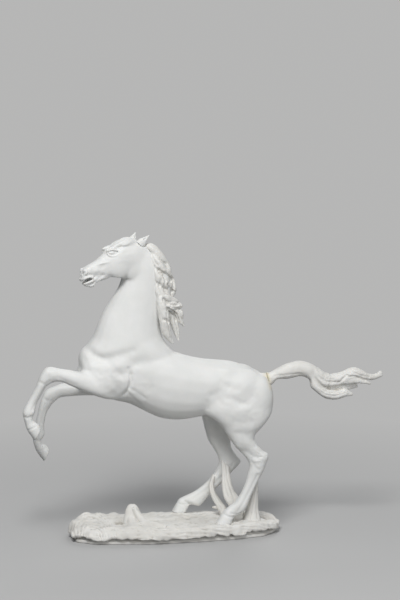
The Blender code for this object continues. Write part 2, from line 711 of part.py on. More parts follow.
def head_shells():
    skull = [
        ((12, 10), (-8, -14), 8.5, 0),
        ((6, 17), (-14, -15.4), 10.0, 0),
        ((-2, 20.2), (-21, -15.4), 10.6, 0),
        ((-13, 20.6), (-27, -14.4), 11.0, 0),
        ((-24, 18.4), (-32.5, -13.6), 10.8, 0),
        ((-33.5, 15.0), (-37.5, -15.0), 9.4, 0),
        ((-40.5, 9.8), (-42, -16.6), 8.0, 0),
        ((-46.5, 5.0), (-46.5, -15.8), 7.2, 0),
        ((-52.0, 2.0), (-51.6, -13.6), 6.6, 0),
        ((-56.0, 0.2), (-56.2, -11.0), 6.4, 0),
        ((-59.4, -2.0), (-59.6, -11.2), 6.3, 0),
        ((-62.1, -4.6), (-62.3, -13.8), 5.5, 0),
        ((-63.7, -7.8), (-63.9, -14.2), 3.7, 0),
    ]
    jaw = [
        ((-43, -8), (-42.5, -16.0), 6.6, 0),
        ((-49.0, -12.4), (-48.0, -17.8), 5.6, 0),
        ((-53.2, -15.8), (-52.4, -21.8), 4.9, 0),
        ((-57.4, -17.4), (-56.2, -21.7), 4.0, 0),
        ((-60.6, -18.8), (-59.6, -20.9), 2.4, 0),
    ]
    near = [
        turned(ball((-25, -7.2, -2.5), (13, 3.8, 11.5), 10)),
        turned(ball((-8, -6.0, -6.0), (13, 4.6, 12), 20)),
        turned(ball((-33.4, -6.0, 11.5), (4.4, 2.8, 2.7), 4)),
        turned(ball((-32.6, -4.6, 15.4), (7.0, 2.5, 2.1), 12)),
        turned(ball((-60.0, -3.8, -6.4), (3.5, 3.2, 3.8), 20)),
        head_cord([(-38.8, 12.2, -5.6), (-36.6, 13.9, -7.1), (-33.4, 14.6, -7.9), (-30.2, 14.1, -8.5),
                   (-27.2, 12.6, -8.9)], (0.5, 0.8, 0.9, 0.8, 0.5)),
        head_cord([(-38.6, 11.6, -6.0), (-36.4, 9.3, -7.4), (-33.2, 8.5, -8.2), (-30.0, 9.4, -8.7),
                   (-27.4, 11.4, -9.1)], (0.5, 0.7, 0.8, 0.7, 0.5)),
        head_cord([(-29, 3.6, -8.9), (-35, 3.0, -8.3), (-42, 2.0, -7.0), (-49, 0.4, -5.4)],
                  (0.6, 1.0, 1.0, 0.5)),
        head_cord([(-63.6, -13.4, -1.8), (-62.0, -12.8, -4.4), (-59.6, -11.4, -5.5), (-56.2, -10.9, -5.9),
                   (-53.2, -12.3, -5.8)], (1.5, 1.4, 1.3, 1.3, 1.2)),
        head_cord([(-63.6, -12.8, -0.8), (-63.5, -14.6, -1.4), (-62.9, -15.8, -1.6)], (1.5, 1.3, 0.9)),
        head_cord([(-60.9, -19.0, -1.0), (-58.8, -18.1, -3.1), (-56.2, -17.0, -4.5), (-53.0, -15.4, -5.3)],
                  (1.0, 1.1, 1.2, 1.1)),
        turned(ball((-53.4, -1.5, -19.8), (3.4, 3.2, 2.6))),
        head_cord([(-62.4, -4.6, -3.8), (-60.9, -4.8, -5.7), (-60.5, -6.9, -6.3), (-61.6, -9.0, -5.4)],
                  (0.6, 0.9, 1.0, 0.8)),
    ]
    middle = [turned(loft(skull, 2.4)), turned(loft(jaw, 2.2))]
    return middle + near + [head_mirrored(shell) for shell in near]


def head_mirrored(shell):
    """A shell of the head's near side, on its far side."""
    turn = math.radians(HEAD_TURN)
    x, _ = at(POLL[0], POLL[2])
    points, faces = shell
    plane = np.array([-math.sin(turn), math.cos(turn), 0.0])
    off = (points - (x, 0, 0)) @ plane
    return points - 2 * off[:, None] * plane, [tuple(reversed(face)) for face in faces]


HEAD_LINES = [
    (0.6, -0.8, [(-38.4, 12.1), (-36.4, 13.0), (-33.3, 13.5), (-30.2, 13.1), (-27.8, 12.2)]),
    (0.6, -0.7, [(-38.4, 11.9), (-36.2, 10.2), (-33.2, 9.6), (-30.0, 10.4), (-27.8, 12.0)]),
    (0.8, -0.55, [(-39.0, 14.2), (-36.4, 15.7), (-33.0, 16.3), (-29.6, 15.6), (-26.6, 13.8)]),
    (0.7, 0.5, [(-38.6, 13.2), (-36.4, 14.6), (-33.3, 15.1), (-30.2, 14.6), (-27.4, 13.0)]),
    (0.7, 0.4, [(-36.6, 8.9), (-33.2, 8.2), (-29.8, 9.0)]),
    (0.9, -0.35, [(-37.4, 7.6), (-33.4, 6.8), (-29.4, 7.6)]),
    (1.2, -0.9, [(-40.2, 12.2), (-39.0, 12.1)]),
    (1.2, -0.9, [(-27.4, 12.3), (-26.0, 12.4)]),
    (1.2, -0.6, [(-39.8, 9.6), (-42.0, 7.0)]),
    (2.0, -0.5, [(-44.0, -1.4), (-48.0, -1.8), (-52.5, -1.4)]),
    (2.2, -0.7, [(-43.8, -0.4), (-45.8, -3.3), (-46.1, -6.7), (-43.5, -9.9)]),
    (2.0, -1.0, [(-50.0, -9.4), (-47.0, -10.0), (-43.5, -10.2)]),
    (2.0, 0.6, [(-48.4, -4.6), (-51.1, -5.3)]),
    (1.0, -0.6, [(-58.8, -3.6), (-58.9, -6.6), (-60.0, -9.4)]),
    (1.0, -0.5, [(-61.4, -9.8), (-58.0, -9.2), (-54.0, -8.8)]),
    (1.7, -0.4, [(-59.0, -1.0), (-51.7, 2.0), (-45.3, 5.2)]),
    (1.4, -0.9, [(-56.6, -18.9), (-54.4, -18.4), (-51.8, -17.2)]),
    (2.2, -0.5, [(-43.9, -10.4), (-37.5, -11.0), (-30.0, -11.8)]),
    (2.4, -0.5, [(-24.0, 9.4), (-18.0, 12.4), (-13.0, 13.4)]),
]


NOSTRIL = [(-64.0, -8.4, -2.4), (-63.5, -6.8, -4.2), (-62.2, -6.0, -5.4)]


def furrows(master):
    """The creases on the figure's middle line, at the breast and between the buttocks."""
    breast = ((-121, 170), (-117, 148), (-104, 134))
    buttocks = ((74, 132), (70, 112), (58, 104))
    for places, width, height in ((breast, 4.0, -2.2), (buttocks, 5.0, -2.5)):
        line = [at(*place) for place in places]
        stroke(master, [(x, 0, z) for x, z in line], width * UNIT, height * UNIT)


def sponge_weight(points):
    """How much each place is rounded over: most on the trunk, least on the head and feet."""
    x = points[:, 0] / UNIT
    z = (points[:, 2] - GROUND_LEVEL) / UNIT
    trunk = np.clip((z - 92) / 14, 0, 1) * np.clip((x + 124) / 8, 0, 1)
    head = np.clip((z - 236) / 20, 0, 1) * np.clip((-x - 60) / 14, 0, 1)
    return 0.08 + 0.5 * trunk * (1 - head) * (1 - 0.6 * np.clip((z - 190) / 20, 0, 1))


def sponged(item, grain):
    """Rounded over as much as the body is, whatever the fineness of its surface."""
    rounds = int(24 * (MASTER_GRAIN / grain) ** 1.5)
    smooth(item, rounds, sponge_weight(corners_of(item)))
    return item


def master_horse():
    shells = trunk_shells() + paired_muscles() + neck_shells() + head_shells()
    shells += [near_hind(), off_hind(), near_fore(), off_fore()]
    master = sponged(fused("master", shells, MASTER_GRAIN), MASTER_GRAIN)
    furrows(master)
    engrave(master, SHOULDER_LINES + HAUNCH_LINES)
    smooth(master, 2, np.full(len(corners_of(master)), 0.3))
    return thinned(master, TRIANGLES["body"])


def master_head():
    """Head and throat, modelled finer than the body."""
    master = fused("master_head", neck_shells() + head_shells(), HEAD_GRAIN)
    along = head_view(corners_of(master), normals_of(master))[0][:, 0]
    smooth(master, 30, 0.035 + 0.45 * np.clip((along + 24) / 16, 0, 1))
    engrave(master, HEAD_LINES, frame=head_view)
    for side in (1, -1):
        stroke(master, [head_point(u, v, side * w) for u, v, w in NOSTRIL], 1.0 * HEAD_UNIT, -1.9 * HEAD_UNIT)
    smooth(master, 2, np.full(len(along), 0.25))
    return thinned(master, TRIANGLES["head"])


def master_leg(name, shell):
    leg = sponged(fused("master_" + name, [shell], LEG_GRAIN), LEG_GRAIN)
    engrave(leg, LEG_LINES[name], frame=either_side)
    return thinned(leg, TRIANGLES["leg"])


# Casting sections

def seams():
    """Boxes that part the master, each starting at its seam."""
    wide = BARREL_WIDTH + HIND_TRACK
    reach = 120 * UNIT
    tall = 90 * UNIT
    over = 22 * UNIT
    return {
        "neck": block("neck_box", at(-70, 177), (0.02, 1.0), (reach, -wide, wide, tall, tall)),
        "head": block("head_box", at(-62, 263), (-0.72, 0.66), (reach, -wide, wide, tall, tall)),
        "near_foreleg": block("near_fore_box", at(-126.5, 148), (-1.0, 0.28), (reach, -wide, 0, over, tall)),
        "off_foreleg": block("off_fore_box", at(-123, 135), (-1.0, 0.0), (reach, 0, wide, over, tall)),
        "near_hind_leg": block("near_hind_box", at(40, 90), (0.0, -1.0), (reach, -wide, 0, tall, tall)),
        "off_hind_leg": block("off_hind_box", at(15, 88), (0.0, -1.0), (reach, 0, wide, tall, tall)),
    }


def casting_sections():
    """Each section is cut from its master at its seam; the trunk is what they leave."""
    boxes = seams()
    rooms = {name: grown_block(box) for name, box in boxes.items()}
    body = master_horse()
    masters = {
        "neck": copy_of(body, "neck_master"),
        "head": master_head(),
        "near_foreleg": master_leg("near_foreleg", near_fore()),
        "off_foreleg": master_leg("off_foreleg", off_fore()),
        "near_hind_leg": master_leg("near_hind_leg", near_hind()),
        "off_hind_leg": master_leg("off_hind_leg", off_hind()),
    }
    parts = {}
    for name, box in boxes.items():
        parts[name] = one_body(carve(copy_of(masters[name], name), box, "INTERSECT"))
    carve(parts["neck"], rooms["head"])
    for name, room in rooms.items():
        if name != "head":
            carve(body, room)
    parts["trunk"] = one_body(body)
    discard(*boxes.values(), *rooms.values(), *masters.values())
    return parts


def grown_block(box):
    """A seam's box with the slip seam added on every face."""
    made = copy_of(box, box.name + "_room")
    work = bmesh.new()
    work.from_mesh(made.data)
    work.verts.ensure_lookup_table()
    for vert in work.verts:
        for face in vert.link_faces:
            vert.co += face.normal * SLIP_SEAM * MM
    work.to_mesh(made.data)
    work.free()
    return made


# Hair

def hair_path(points):
    return [(at(x, z)[0], y * UNIT, at(x, z)[1]) for x, y, z in points]


def lock(points, radii, flat=0.9):
    return strand(hair_path(points), [r * MANE_STRAND for r in radii], flat)


def combed(name, shells, lines, triangles):
    """Locks run together, with the partings drawn into them."""
    hair = fused(name, shells, HAIR_GRAIN)
    smooth(hair, 2, np.full(len(corners_of(hair)), 0.3))
    engrave(hair, lines)
    return thinned(hair, triangles)


def mane_bed():
    """The mass of the mane along the crest of the neck, under its locks."""
    return loft([
        (at(-58, 272.5), at(-52.5, 280), 3.8, 0),
        (at(-50, 264), at(-42.5, 272), 6.2, 0),
        (at(-46, 253), at(-34, 259.5), 7.8, 0),
        (at(-43.5, 241), at(-30, 243), 8.8, 0),
        (at(-43, 228), at(-30, 228), 8.8, 0),
        (at(-42.5, 214), at(-32, 213), 7.0, 0),
        (at(-42, 204), at(-36, 203), 4.0, 0),
    ])


def crest_locks():
    """Waved locks, laid over one another down both sides of the crest."""
    taper = (0.5, 0.85, 1.0, 1.0, 0.75, 0.22)
    bow = (0.75, 0.95, 1.0, 0.95, 0.7, 0.35)
    rows = [
        [(-57, 277.5), (-51.5, 279), (-46.5, 275.2), (-42, 270), (-37.5, 265.5), (-32, 262)],
        [(-51, 272), (-46.5, 267.5), (-42.5, 262), (-38.5, 256), (-33.5, 252.5), (-27.5, 248)],
        [(-46.5, 261), (-44, 254), (-41.5, 247.5), (-37.5, 243.5), (-33, 240.5), (-25.5, 235)],
        [(-45, 247), (-43.5, 239), (-41, 232), (-36.5, 228), (-31, 226.5), (-22.5, 224)],
        [(-44.5, 236), (-42.5, 228), (-38, 222.5), (-32, 220.5), (-26, 220), (-18.5, 218.5)],
    ]
    locks = []
    for i, row in enumerate(rows):
        depth = (2.5, 6.5, 8.2, 9.0, 8.6)[i]
        for side in (-1, 1):
            shift = 0.0 if side < 0 else -2.2
            path = [(x, side * depth * out, z + shift) for (x, z), out in zip(row, bow)]
            locks.append(lock(path, [r * 1.15 for r in taper]))
    upper = [(-42, 268), (-36.3, 263.6), (-33, 257), (-32, 250), (-28.5, 243), (-26.5, 235)]
    lower = [(-37, 248), (-31, 241), (-27.5, 235), (-30.5, 227.5), (-26, 222.5), (-18.2, 219)]
    locks.append(lock([(x, 0, z) for x, z in upper], (0.5, 0.8, 0.85, 0.85, 0.8, 0.6)))
    locks.append(lock([(x, 0, z) for x, z in lower], (0.5, 0.8, 0.85, 0.75, 0.7, 0.3)))
    return locks


def blown_locks():
    """The three locks that blow free at the foot of the mane."""
    taper = (0.6, 0.85, 0.95, 0.9, 0.72, 0.2)
    return {
        "mane_lock_upper": lock(
            [(-37, -4, 225), (-32, -4, 219.5), (-26.5, -3, 216), (-21.4, -3, 211.5), (-20.6, -3, 205.5),
             (-16.8, -3, 198.5)], taper),
        "mane_lock_middle": lock(
            [(-36.5, -1, 218), (-33, -1, 213.5), (-28.8, -1, 208.5), (-26.5, -1.5, 201.5),
             (-24.3, -1.5, 193.5), (-22, -2, 183.5)], taper),
        "mane_lock_lower": lock(
            [(-42.5, -10.5, 234), (-40.8, -12, 222), (-38.8, -12, 212), (-37.6, -12, 202), (-35, -11, 192),
             (-29, -10, 182.5)], [r * 1.3 for r in taper]),
    }


MANE_LINES = [
    (1.5, -0.8, [(-52.5, 275.5), (-49.5, 270.5), (-48, 265.5), (-44.5, 262)]),
    (1.8, -1.8, [(-43.5, 257), (-41, 254), (-37, 253.5), (-33, 249.5), (-30, 245.5)]),
    (1.4, -0.9, [(-37.5, 251.5), (-36.5, 246.5), (-38, 240.5)]),
    (1.4, -1.5, [(-33.5, 242.5), (-31.5, 238), (-28.5, 235)]),
    (1.4, -1.2, [(-41.5, 247), (-43.5, 240), (-42, 232.5)]),
    (1.6, -1.8, [(-38.5, 228), (-34.5, 224), (-30.5, 222.5), (-24.5, 221)]),
    (1.4, -1.3, [(-31, 220), (-27, 218), (-19.5, 216.5)]),
    (1.6, -1.9, [(-34.5, 218), (-30, 214.5), (-26.5, 211.5), (-24, 205.5)]),
    (1.4, -1.3, [(-39, 208), (-36.5, 207.5), (-33.5, 205.5)]),
    (1.2, -0.8, [(-41.5, 268), (-37.5, 264), (-34.5, 258)]),
    (1.3, -1.1, [(-29, 248.5), (-27, 243.5), (-28, 237.5)]),
    (1.1, -0.8, [(-22, 215), (-19, 208), (-16, 202)]),
    (1.1, -0.8, [(-26.5, 206), (-23.5, 196), (-21.5, 187)]),
    (1.2, -0.9, [(-36.5, 214), (-34, 203.5), (-31.5, 193), (-29, 186)]),
]


def forelock_shells():
    """Locks that fall forward from the poll over the forehead."""
    reach = FORELOCK_LENGTH / DRAWN["forelock"]
    rows = [
        ([(-3, 21.2, 0), (-11, 22.6, -0.5), (-18, 22.0, -1), (-25, 19.5, -1.5), (-30.6, 16.3, -1.6),
          (-36, 13.2, -1.8)],
         (0.45, 0.66, 0.76, 0.6, 0.4, 0.22)),
        ([(-5, 21.0, -2.5), (-11, 21.8, -3.8), (-18, 20.9, -4.8), (-24, 19.2, -5.0), (-29, 17.4, -4.6),
          (-33, 15.8, -4.0)],
         (0.4, 0.56, 0.62, 0.5, 0.36, 0.2)),
        ([(-8, 20.6, -4.5), (-13, 20.4, -6.0), (-18, 19.2, -7.0), (-22.5, 18.0, -7.2)],
         (0.32, 0.42, 0.4, 0.16)),
        ([(-5, 20.6, 3.0), (-12, 21.4, 4.2), (-19, 20.4, 5.0), (-26, 18.4, 5.0), (-32, 15.6, 4.2)],
         (0.4, 0.58, 0.62, 0.46, 0.2)),
    ]
    locks = []
    for points, radii in rows:
        root = np.array(points[0], float)
        path = [head_point(*(root + (np.array(p) - root) * reach)) for p in points]
        locks.append(strand(path, [r * MANE_STRAND for r in radii], 0.95))
    return locks


EARS = {
    "near_ear": ((-0.6, 19.6, -5.4), (6.0, 26.2, -7.6), (-1.1, 0.6, -1.5)),
    "off_ear": ((-7.0, 20.2, 5.0), (-0.3, 29.8, 8.0), (1.0, -0.2, -1.5)),
}


def ear_line(name, shares, aside=0.0):
    """Points along an ear from root to tip, shifted towards its opening."""
    root, tip, opening = (np.array(place, float) for place in EARS[name])
    along = (tip - root) / np.linalg.norm(tip - root) * EAR_LENGTH
    shift = opening / np.linalg.norm(opening) * aside * EAR_WIDTH
    return [head_point(*(root + along * share + shift)) for share in shares]


def ear(name):
    """Pricked ear: a tapered leaf."""
    path = ear_line(name, (-0.25, 0.1, 0.38, 0.68, 1.0))
    radii = [EAR_WIDTH * r for r in (0.8, 0.76, 0.55, 0.3, 0.06)]
    return thinned(fused(name, [strand(path, radii, 0.6)], EAR_GRAIN), TRIANGLES["ear"])


def ear_hollow(name):
    """The scooped inside of an ear."""
    path = ear_line(name, (0.14, 0.4, 0.68, 0.9), 0.3)
    radii = [EAR_WIDTH * r for r in (0.16, 0.32, 0.2, 0.07)]
    return thinned(fused(name + "_hollow", [strand(path, radii, 0.6)], EAR_GRAIN), TRIANGLES["ear"] // 2)


def tail_point(x, z):
    """Tail places are stretched from the break at the root."""
    root_x, root_z = TAIL_ROOT
    return at(root_x + (x - root_x) * TAIL_UNIT, root_z + (z - root_z) * TAIL_UNIT)


def tail_loft(stations):
    rows = [(tail_point(*a), tail_point(*b), w * TAIL_WIDTH, y * TAIL_WIDTH) for a, b, w, y in stations]
    return loft(rows, 2.1)


def tail_shells():
    dock = [
        ((60, 147.5), (64, 134.5), 0.33, 0),
        ((68.5, 147.5), (73, 134.8), 0.33, 0),
        ((77, 151), (79, 141), 0.33, 0),
        ((87, 156), (89.5, 141), 0.39, 0),
        ((98.5, 159), (99.5, 143), 0.44, 0),
        ((110, 158), (107.5, 142.5), 0.47, 0),
        ((120.5, 152.5), (113.5, 137.5), 0.5, 0),
        ((128, 147), (119, 129), 0.5, 0),
        ((134, 144), (129, 128), 0.42, 0),
    ]
    top = [
        ((120, 152), (117, 138), 0.4, 0.05),
        ((132, 145), (130, 130), 0.42, 0.05),
        ((137, 144.5), (138, 131), 0.4, 0.05),
        ((146.5, 147), (148.5, 134), 0.38, 0),
        ((157, 151), (158, 138.5), 0.36, -0.05),
        ((166, 148.5), (166, 138.5), 0.3, -0.05),
        ((173.5, 144), (173, 137), 0.24, 0),
        ((180, 143), (180, 137), 0.17, 0.05),
        ((185.5, 144), (186, 138.6), 0.15, 0.1),
        ((189.3, 142.8), (189.2, 139.6), 0.08, 0.1),
    ]
    low = [
        ((114, 146), (113, 132), 0.34, -0.1),
        ((121, 138), (118.5, 127), 0.36, -0.15),
        ((130, 131), (128.5, 120), 0.35, -0.15),
        ((140.5, 128.5), (140.5, 118.2), 0.3, -0.1),
        ((149.5, 128.8), (150.5, 120.5), 0.22, 0),
        ((158, 124), (158.4, 121), 0.08, 0.05),
    ]
    middle = [
        ((124, 142), (122, 128), 0.34, 0.15),
        ((134, 138), (133, 125.5), 0.34, 0.2),
        ((143, 137), (143, 126), 0.28, 0.2),
        ((153.5, 136), (154, 127), 0.2, 0.15),
        ((163, 133), (163.5, 129.5), 0.08, 0.1),
    ]
    flick = [
        ((146, 143), (146, 133), 0.25, -0.1),
        ((157, 142), (157, 134), 0.2, -0.15),
        ((167.5, 139), (168, 134), 0.14, -0.15),
        ((176, 134.8), (176.3, 132.2), 0.06, -0.15),
    ]
    return [tail_loft(rows) for rows in (dock, top, low, middle, flick)]


TAIL_LINES = [
    (2.0, -2.2, [(114.5, 146.5), (118.5, 139), (122, 134), (128, 129.5), (135.5, 128), (145.5, 128)]),
    (1.7, -1.6, [(115.5, 150.5), (119.5, 144.5), (124, 141), (130, 138), (136.5, 137), (141.5, 136)]),
    (1.3, -1.0, [(120, 150.5), (124, 145.5), (129.5, 141.5), (136.5, 140)]),
    (1.2, -0.8, [(117.5, 141.5), (123, 135), (130, 131.5), (139.5, 131.5), (148, 134)]),
    (1.2, -0.8, [(114.5, 137.5), (120, 130), (127, 125), (137.5, 123), (149, 125)]),
    (1.4, -1.5, [(143, 136.5), (147, 141), (150, 144)]),
    (1.2, -0.7, [(147, 146), (153.5, 148), (159.5, 145.5), (166, 142.5), (174, 141)]),
    (1.2, -0.9, [(151.5, 142), (157.5, 142.5), (164, 140.5), (169, 137)]),
    (1.3, -0.6, [(76.5, 145.5), (84, 146), (93, 146.8), (102, 147)]),
]


# Ground, stump and branches

def outline(turn, inset=0.0):
    """Edge of the irregular oval base: fuller at the forehooves' end, drawn in towards the tail."""
    long = BASE_LENGTH / 2 - inset
    wide = BASE_WIDTH / 2 - inset
    along = np.cos(turn)
    across = np.sin(turn)
    x = long * np.sign(along) * np.abs(along) ** 0.85
    taper = 1 - 0.09 * np.clip(along, 0, 1) ** 2
    y = wide * np.sign(across) * np.abs(across) ** 0.72 * taper
    ragged = 1 + 0.012 * np.sin(7 * turn + 0.6) + 0.009 * np.sin(11 * turn + 2.0) + 0.006 * np.sin(17 * turn)
    return np.stack([BASE_CENTRE_X + x * ragged, y * ragged], -1)


def mound(x, y, centre, height, spread):
    return height * np.exp(-(((x - centre[0]) / spread[0]) ** 2) - ((y - centre[1]) / spread[1]) ** 2)


HOLLOWS = [
    ((-83, -2), 2.4, (5, 7)),
    ((-50, -5.5), 2.2, (6, 6)),
    ((38, -6.6), 2.8, (6, 5)),
    ((66.5, 1), 3.0, (7, 7)),
]


def ground_height(x, y):
    """Height of the modelled earth above its level at the near hind hoof."""
    left = BASE_CENTRE_X - BASE_LENGTH / 2
    right = BASE_CENTRE_X + BASE_LENGTH / 2
    wide = BASE_WIDTH / 2
    height = mound(x, y, at(-17, 0)[:1] + (HIND_TRACK / 2 + 3,), 1.2, (26, 12))
    height += mound(x, y, (left + 20, 0.66 * wide), 6.2, (9, 9))
    height += mound(x, y, (left + 36, 0.7 * wide), 2.4, (6, 9))
    height += mound(x, y, (left + 48.5, 0.72 * wide), 2.0, (6, 9))
    height -= mound(x, y, (BASE_CENTRE_X + 0.05 * BASE_LENGTH, 0.95 * wide), 1.8, (0.25 * BASE_LENGTH, 12))
    height += mound(x, y, (left + 20, 8), 1.4, (16, 14))
    height += mound(x, y, (at(33, 0)[0], 0), 1.6, (16, 12))
    height += mound(x, y, (at(-66, 0)[0], -8), 1.8, (14, 20))
    height += mound(x, y, (right - 12, 0.4 * wide), 2.8, (11, 7))
    height -= mound(x, y, (right - 2, -0.2 * wide), 3.2, (16, 22))
    for place, depth, spread in HOLLOWS:
        height -= mound(x, y, (at(place[0], 0)[0], place[1]), depth, spread)
    height += 0.45 * np.sin(x / 7.0 + 0.09 * y) * np.cos(y / 9.0)
    return height


PLATE_LEVELS = ((0.0, 0.9), (0.5, 0.2), (1.2, 0.0), (BASE_PLATE - 1.0, 0.0), (BASE_PLATE, 1.0))


def base_plate():
    """The flat foot, drawn in under the torn edge of the earth."""
    around = 44
    turn = np.linspace(0, 2 * math.pi, around, endpoint=False)
    rings = []
    for z, inset in PLATE_LEVELS:
        rings.append(np.column_stack([outline(turn, PLATE_INSET + inset), np.full(around, z)]))
    points, faces = skin(rings)
    return object_from("base_plate", points, faces)


def ground_rings(around, shares):
    """Shell of the modelled earth: its torn lip, its bank, and rings of its top drawn in to the middle."""
    turn = np.linspace(0, 2 * math.pi, around, endpoint=False)
    foot = BASE_PLATE + UNDERCUT_GAP
    torn = 0.9 * np.sin(9 * turn + 1.0) + 0.7 * np.sin(14 * turn) + 0.5 * np.sin(23 * turn + 2.0)
    lip = foot + 0.26 * GROUND_THICKNESS + 0.8 * torn
    rim = outline(turn)
    near_bank = mound(rim[:, 0], rim[:, 1], (BASE_CENTRE_X - 0.3 * BASE_LENGTH, -BASE_WIDTH / 2), 1.0,
                      (0.3 * BASE_LENGTH, 0.35 * BASE_WIDTH))
    bank = BANK * (1 + 4 * near_bank)

    def ring(inset, level, relief=0.0):
        share = 1 - inset / (BASE_WIDTH / 2)
        flat = (rim - (BASE_CENTRE_X, 0)) * share[:, None] + (BASE_CENTRE_X, 0)
        return np.column_stack([flat, level + relief * ground_height(flat[:, 0], flat[:, 1])])

    even = np.zeros(around)
    rings = [
        ring(even + PLATE_INSET + 1.0, even + foot),
        ring(even + PLATE_INSET - 0.8, (foot + lip) / 2 - 0.3),
        ring(even + 0.3, lip),
        ring(even, lip + 0.16 * GROUND_THICKNESS),
        ring(0.4 * bank, (lip + GROUND_LEVEL) / 2 + 0.4, 0.4),
        ring(bank, even + GROUND_LEVEL - 1.0, 0.8),
    ]
    rest = BASE_WIDTH / 2 - bank - 1.6
    for step in np.linspace(0.0, 0.9, shares):
        rings.append(ring(bank + 1.6 + rest * step, even + GROUND_LEVEL, 1.0))
    return skin(rings)


def ground():
    points, faces = ground_rings(42, 6)
    return faceted(object_from("ground", points, faces))


def stump_shells():
    """Leaf-shaped upright rock between the forehooves' end and the middle of the base."""
    x, z = at(-68, 0)
    half = STUMP_WIDTH / 2
    tall = STUMP_HEIGHT
    leaf = [
        ((x - half * 1.2, z - 3), (x + half * 1.3, z - 3), half * 0.95, -2),
        ((x - half * 1.1, z + 0.06 * tall), (x + half * 1.2, z + 0.04 * tall), half * 0.75, -2),
        ((x - half * 0.95, z + 0.4 * tall), (x + half * 0.85, z + 0.36 * tall), half * 0.52, -1),
        ((x - half * 0.85, z + 0.66 * tall), (x + half * 0.56, z + 0.66 * tall), half * 0.4, -1),
        ((x - half * 0.62, z + 0.9 * tall), (x + half * 0.36, z + 0.88 * tall), half * 0.26, 0),
        ((x - half * 0.35, z + tall), (x + half * 0.1, z + 0.98 * tall), half * 0.12, 0),
    ]
    ridge = [
        (x - 0.05 * half, -4, z + 0.82 * tall),
        (x + 0.3 * half, -5, z + 0.48 * tall),
        (x + 0.7 * half, -8, z + 0.14 * tall),
        (x + 1.1 * half, -15, z - 0.12 * tall),
        (x + 1.5 * half, -24, z - 0.28 * tall),
    ]
    foot = [
        (x - 0.3 * half, -3, z + 0.2 * tall),
        (x - 0.2 * half, -11, z - 0.1 * tall),
        (x, -20, z - 0.26 * tall),
    ]
    return [
        loft(leaf, 2.0),
        strand(ridge, [half * share for share in (0.2, 0.32, 0.45, 0.5, 0.45)]),
        strand(foot, [half * share for share in (0.45, 0.55, 0.45)]),
    ]


def stump():
    return thinned(fused("stump", stump_shells(), HAIR_GRAIN), TRIANGLES["stump"])


def support(name, shells):
    """A branch with the grain of its bark drawn in."""
    branch = fused(name, shells, HAIR_GRAIN)
    engrave(branch, BARK_LINES, frame=either_side)
    return thinned(branch, TRIANGLES[name])


def branch_loft(stations, width):
    return loft([(at(*a), at(*b), w * width / 2, y) for a, b, w, y in stations], 2.4)


def support_shells():
    """The forked branch under the far hock with its spur, and the stem under the near one."""
    far = HIND_TRACK / 2
    near = -HIND_TRACK / 2
    main = [
        ((25, 56), (34, 48), 0.95, far * 0.8),
        ((24.3, 42), (33, 41), 1.0, far * 0.5),
        ((22.8, 31), (35.5, 27), 1.15, far * 0.1),
        ((23.8, 21), (43, 17), 1.15, near * 0.3),
        ((28.6, 10.5), (43.5, 7.5), 1.15, near * 0.45),
        ((28, -1), (43.5, -1), 1.5, near * 0.45),
        ((27.5, -3.5), (44, -3.5), 1.55, near * 0.45),
    ]
    fork = [
        ((16.6, 41), (19.2, 38.5), 0.8, far * 0.95),
        ((11.5, 30), (17.4, 27), 0.95, far * 0.75),
        ((13.7, 18.5), (22, 17), 0.95, far * 0.5),
        ((18.6, 8.5), (28, 9), 1.05, far * 0.2),
        ((22, -1), (33, 0), 1.3, 0),
        ((22, -3.5), (33, -3.5), 1.3, 0),
    ]
    spur = [
        ((23, 13.5), (25, 8), 0.6, far * 0.22),
        ((17.5, 10.7), (18.5, 6.8), 0.5, far * 0.3),
        ((13.5, 9.8), (14.5, 7.8), 0.3, far * 0.36),
    ]
    stem = [
        ((52, 46), (56, 41), 0.85, near * 0.9),
        ((50, 30), (57, 28), 1.2, near * 0.75),
        ((46, 13), (57.5, 12), 1.5, near * 0.64),
        ((42, 2), (60, 0.5), 2.2, near * 0.62),
        ((40, -3.5), (61, -5), 2.4, near * 0.62),
    ]
    return [branch_loft(s, BRANCH_WIDTH) for s in (main, fork, spur)], [branch_loft(stem, STEM_WIDTH)]


BARK_LINES = [
    (1.1, -1.0, [(25.8, 52.9), (25.8, 37.3), (27.9, 24.7)]),
    (1.1, -0.9, [(29.6, 53.2), (29.1, 37.6), (32.7, 24.0), (35.5, 12.0)]),
    (1.1, -0.9, [(14.0, 33.6), (16.1, 20.9), (22.4, 9.1)]),
    (1.0, -0.8, [(17.0, 35.8), (18.5, 23.2), (24.2, 12.4)]),
    (1.1, -1.0, [(52.5, 33.0), (51.6, 18.5), (48.5, 2.1)]),
    (1.0, -0.9, [(55.7, 28.7), (54.7, 14.3), (55.8, 1.7)]),
]


# Assembly

def glazes():
    return {
        "porcelain": pottery("bisque_porcelain", BISQUE, 0.6),
        "hair": pottery("bisque_hair", BISQUE_HAIR, 0.62),
        "earth": pottery("bisque_ground", BISQUE_WARM, 0.68),
        "adhesive": pottery("old_adhesive", OLD_ADHESIVE, 0.4),
    }


def nested(shapes, figure):
    """Each piece gives way to the figure's sections, and to the pieces before it, by the gap."""
    rooms = [grown(section) for section in figure]
    pieces = {}
    for name, shape in shapes.items():
        pieces[name] = copy_of(shape, name)
        for room in rooms:
            if boxes_meet(pieces[name], room):
                carve(pieces[name], room)
        one_body(pieces[name])
        rooms.append(grown(shape))
    discard(*rooms, *shapes.values())
    return pieces


def behind(name, x, depth, under=80.0):
    """Box that starts at x and reaches back over the tail, and so far under its root."""
    reach = 80 * UNIT
    return block(name, (x, at(*TAIL_ROOT)[1]), (1.0, 0.0), (depth, -reach, reach, reach, under * UNIT))


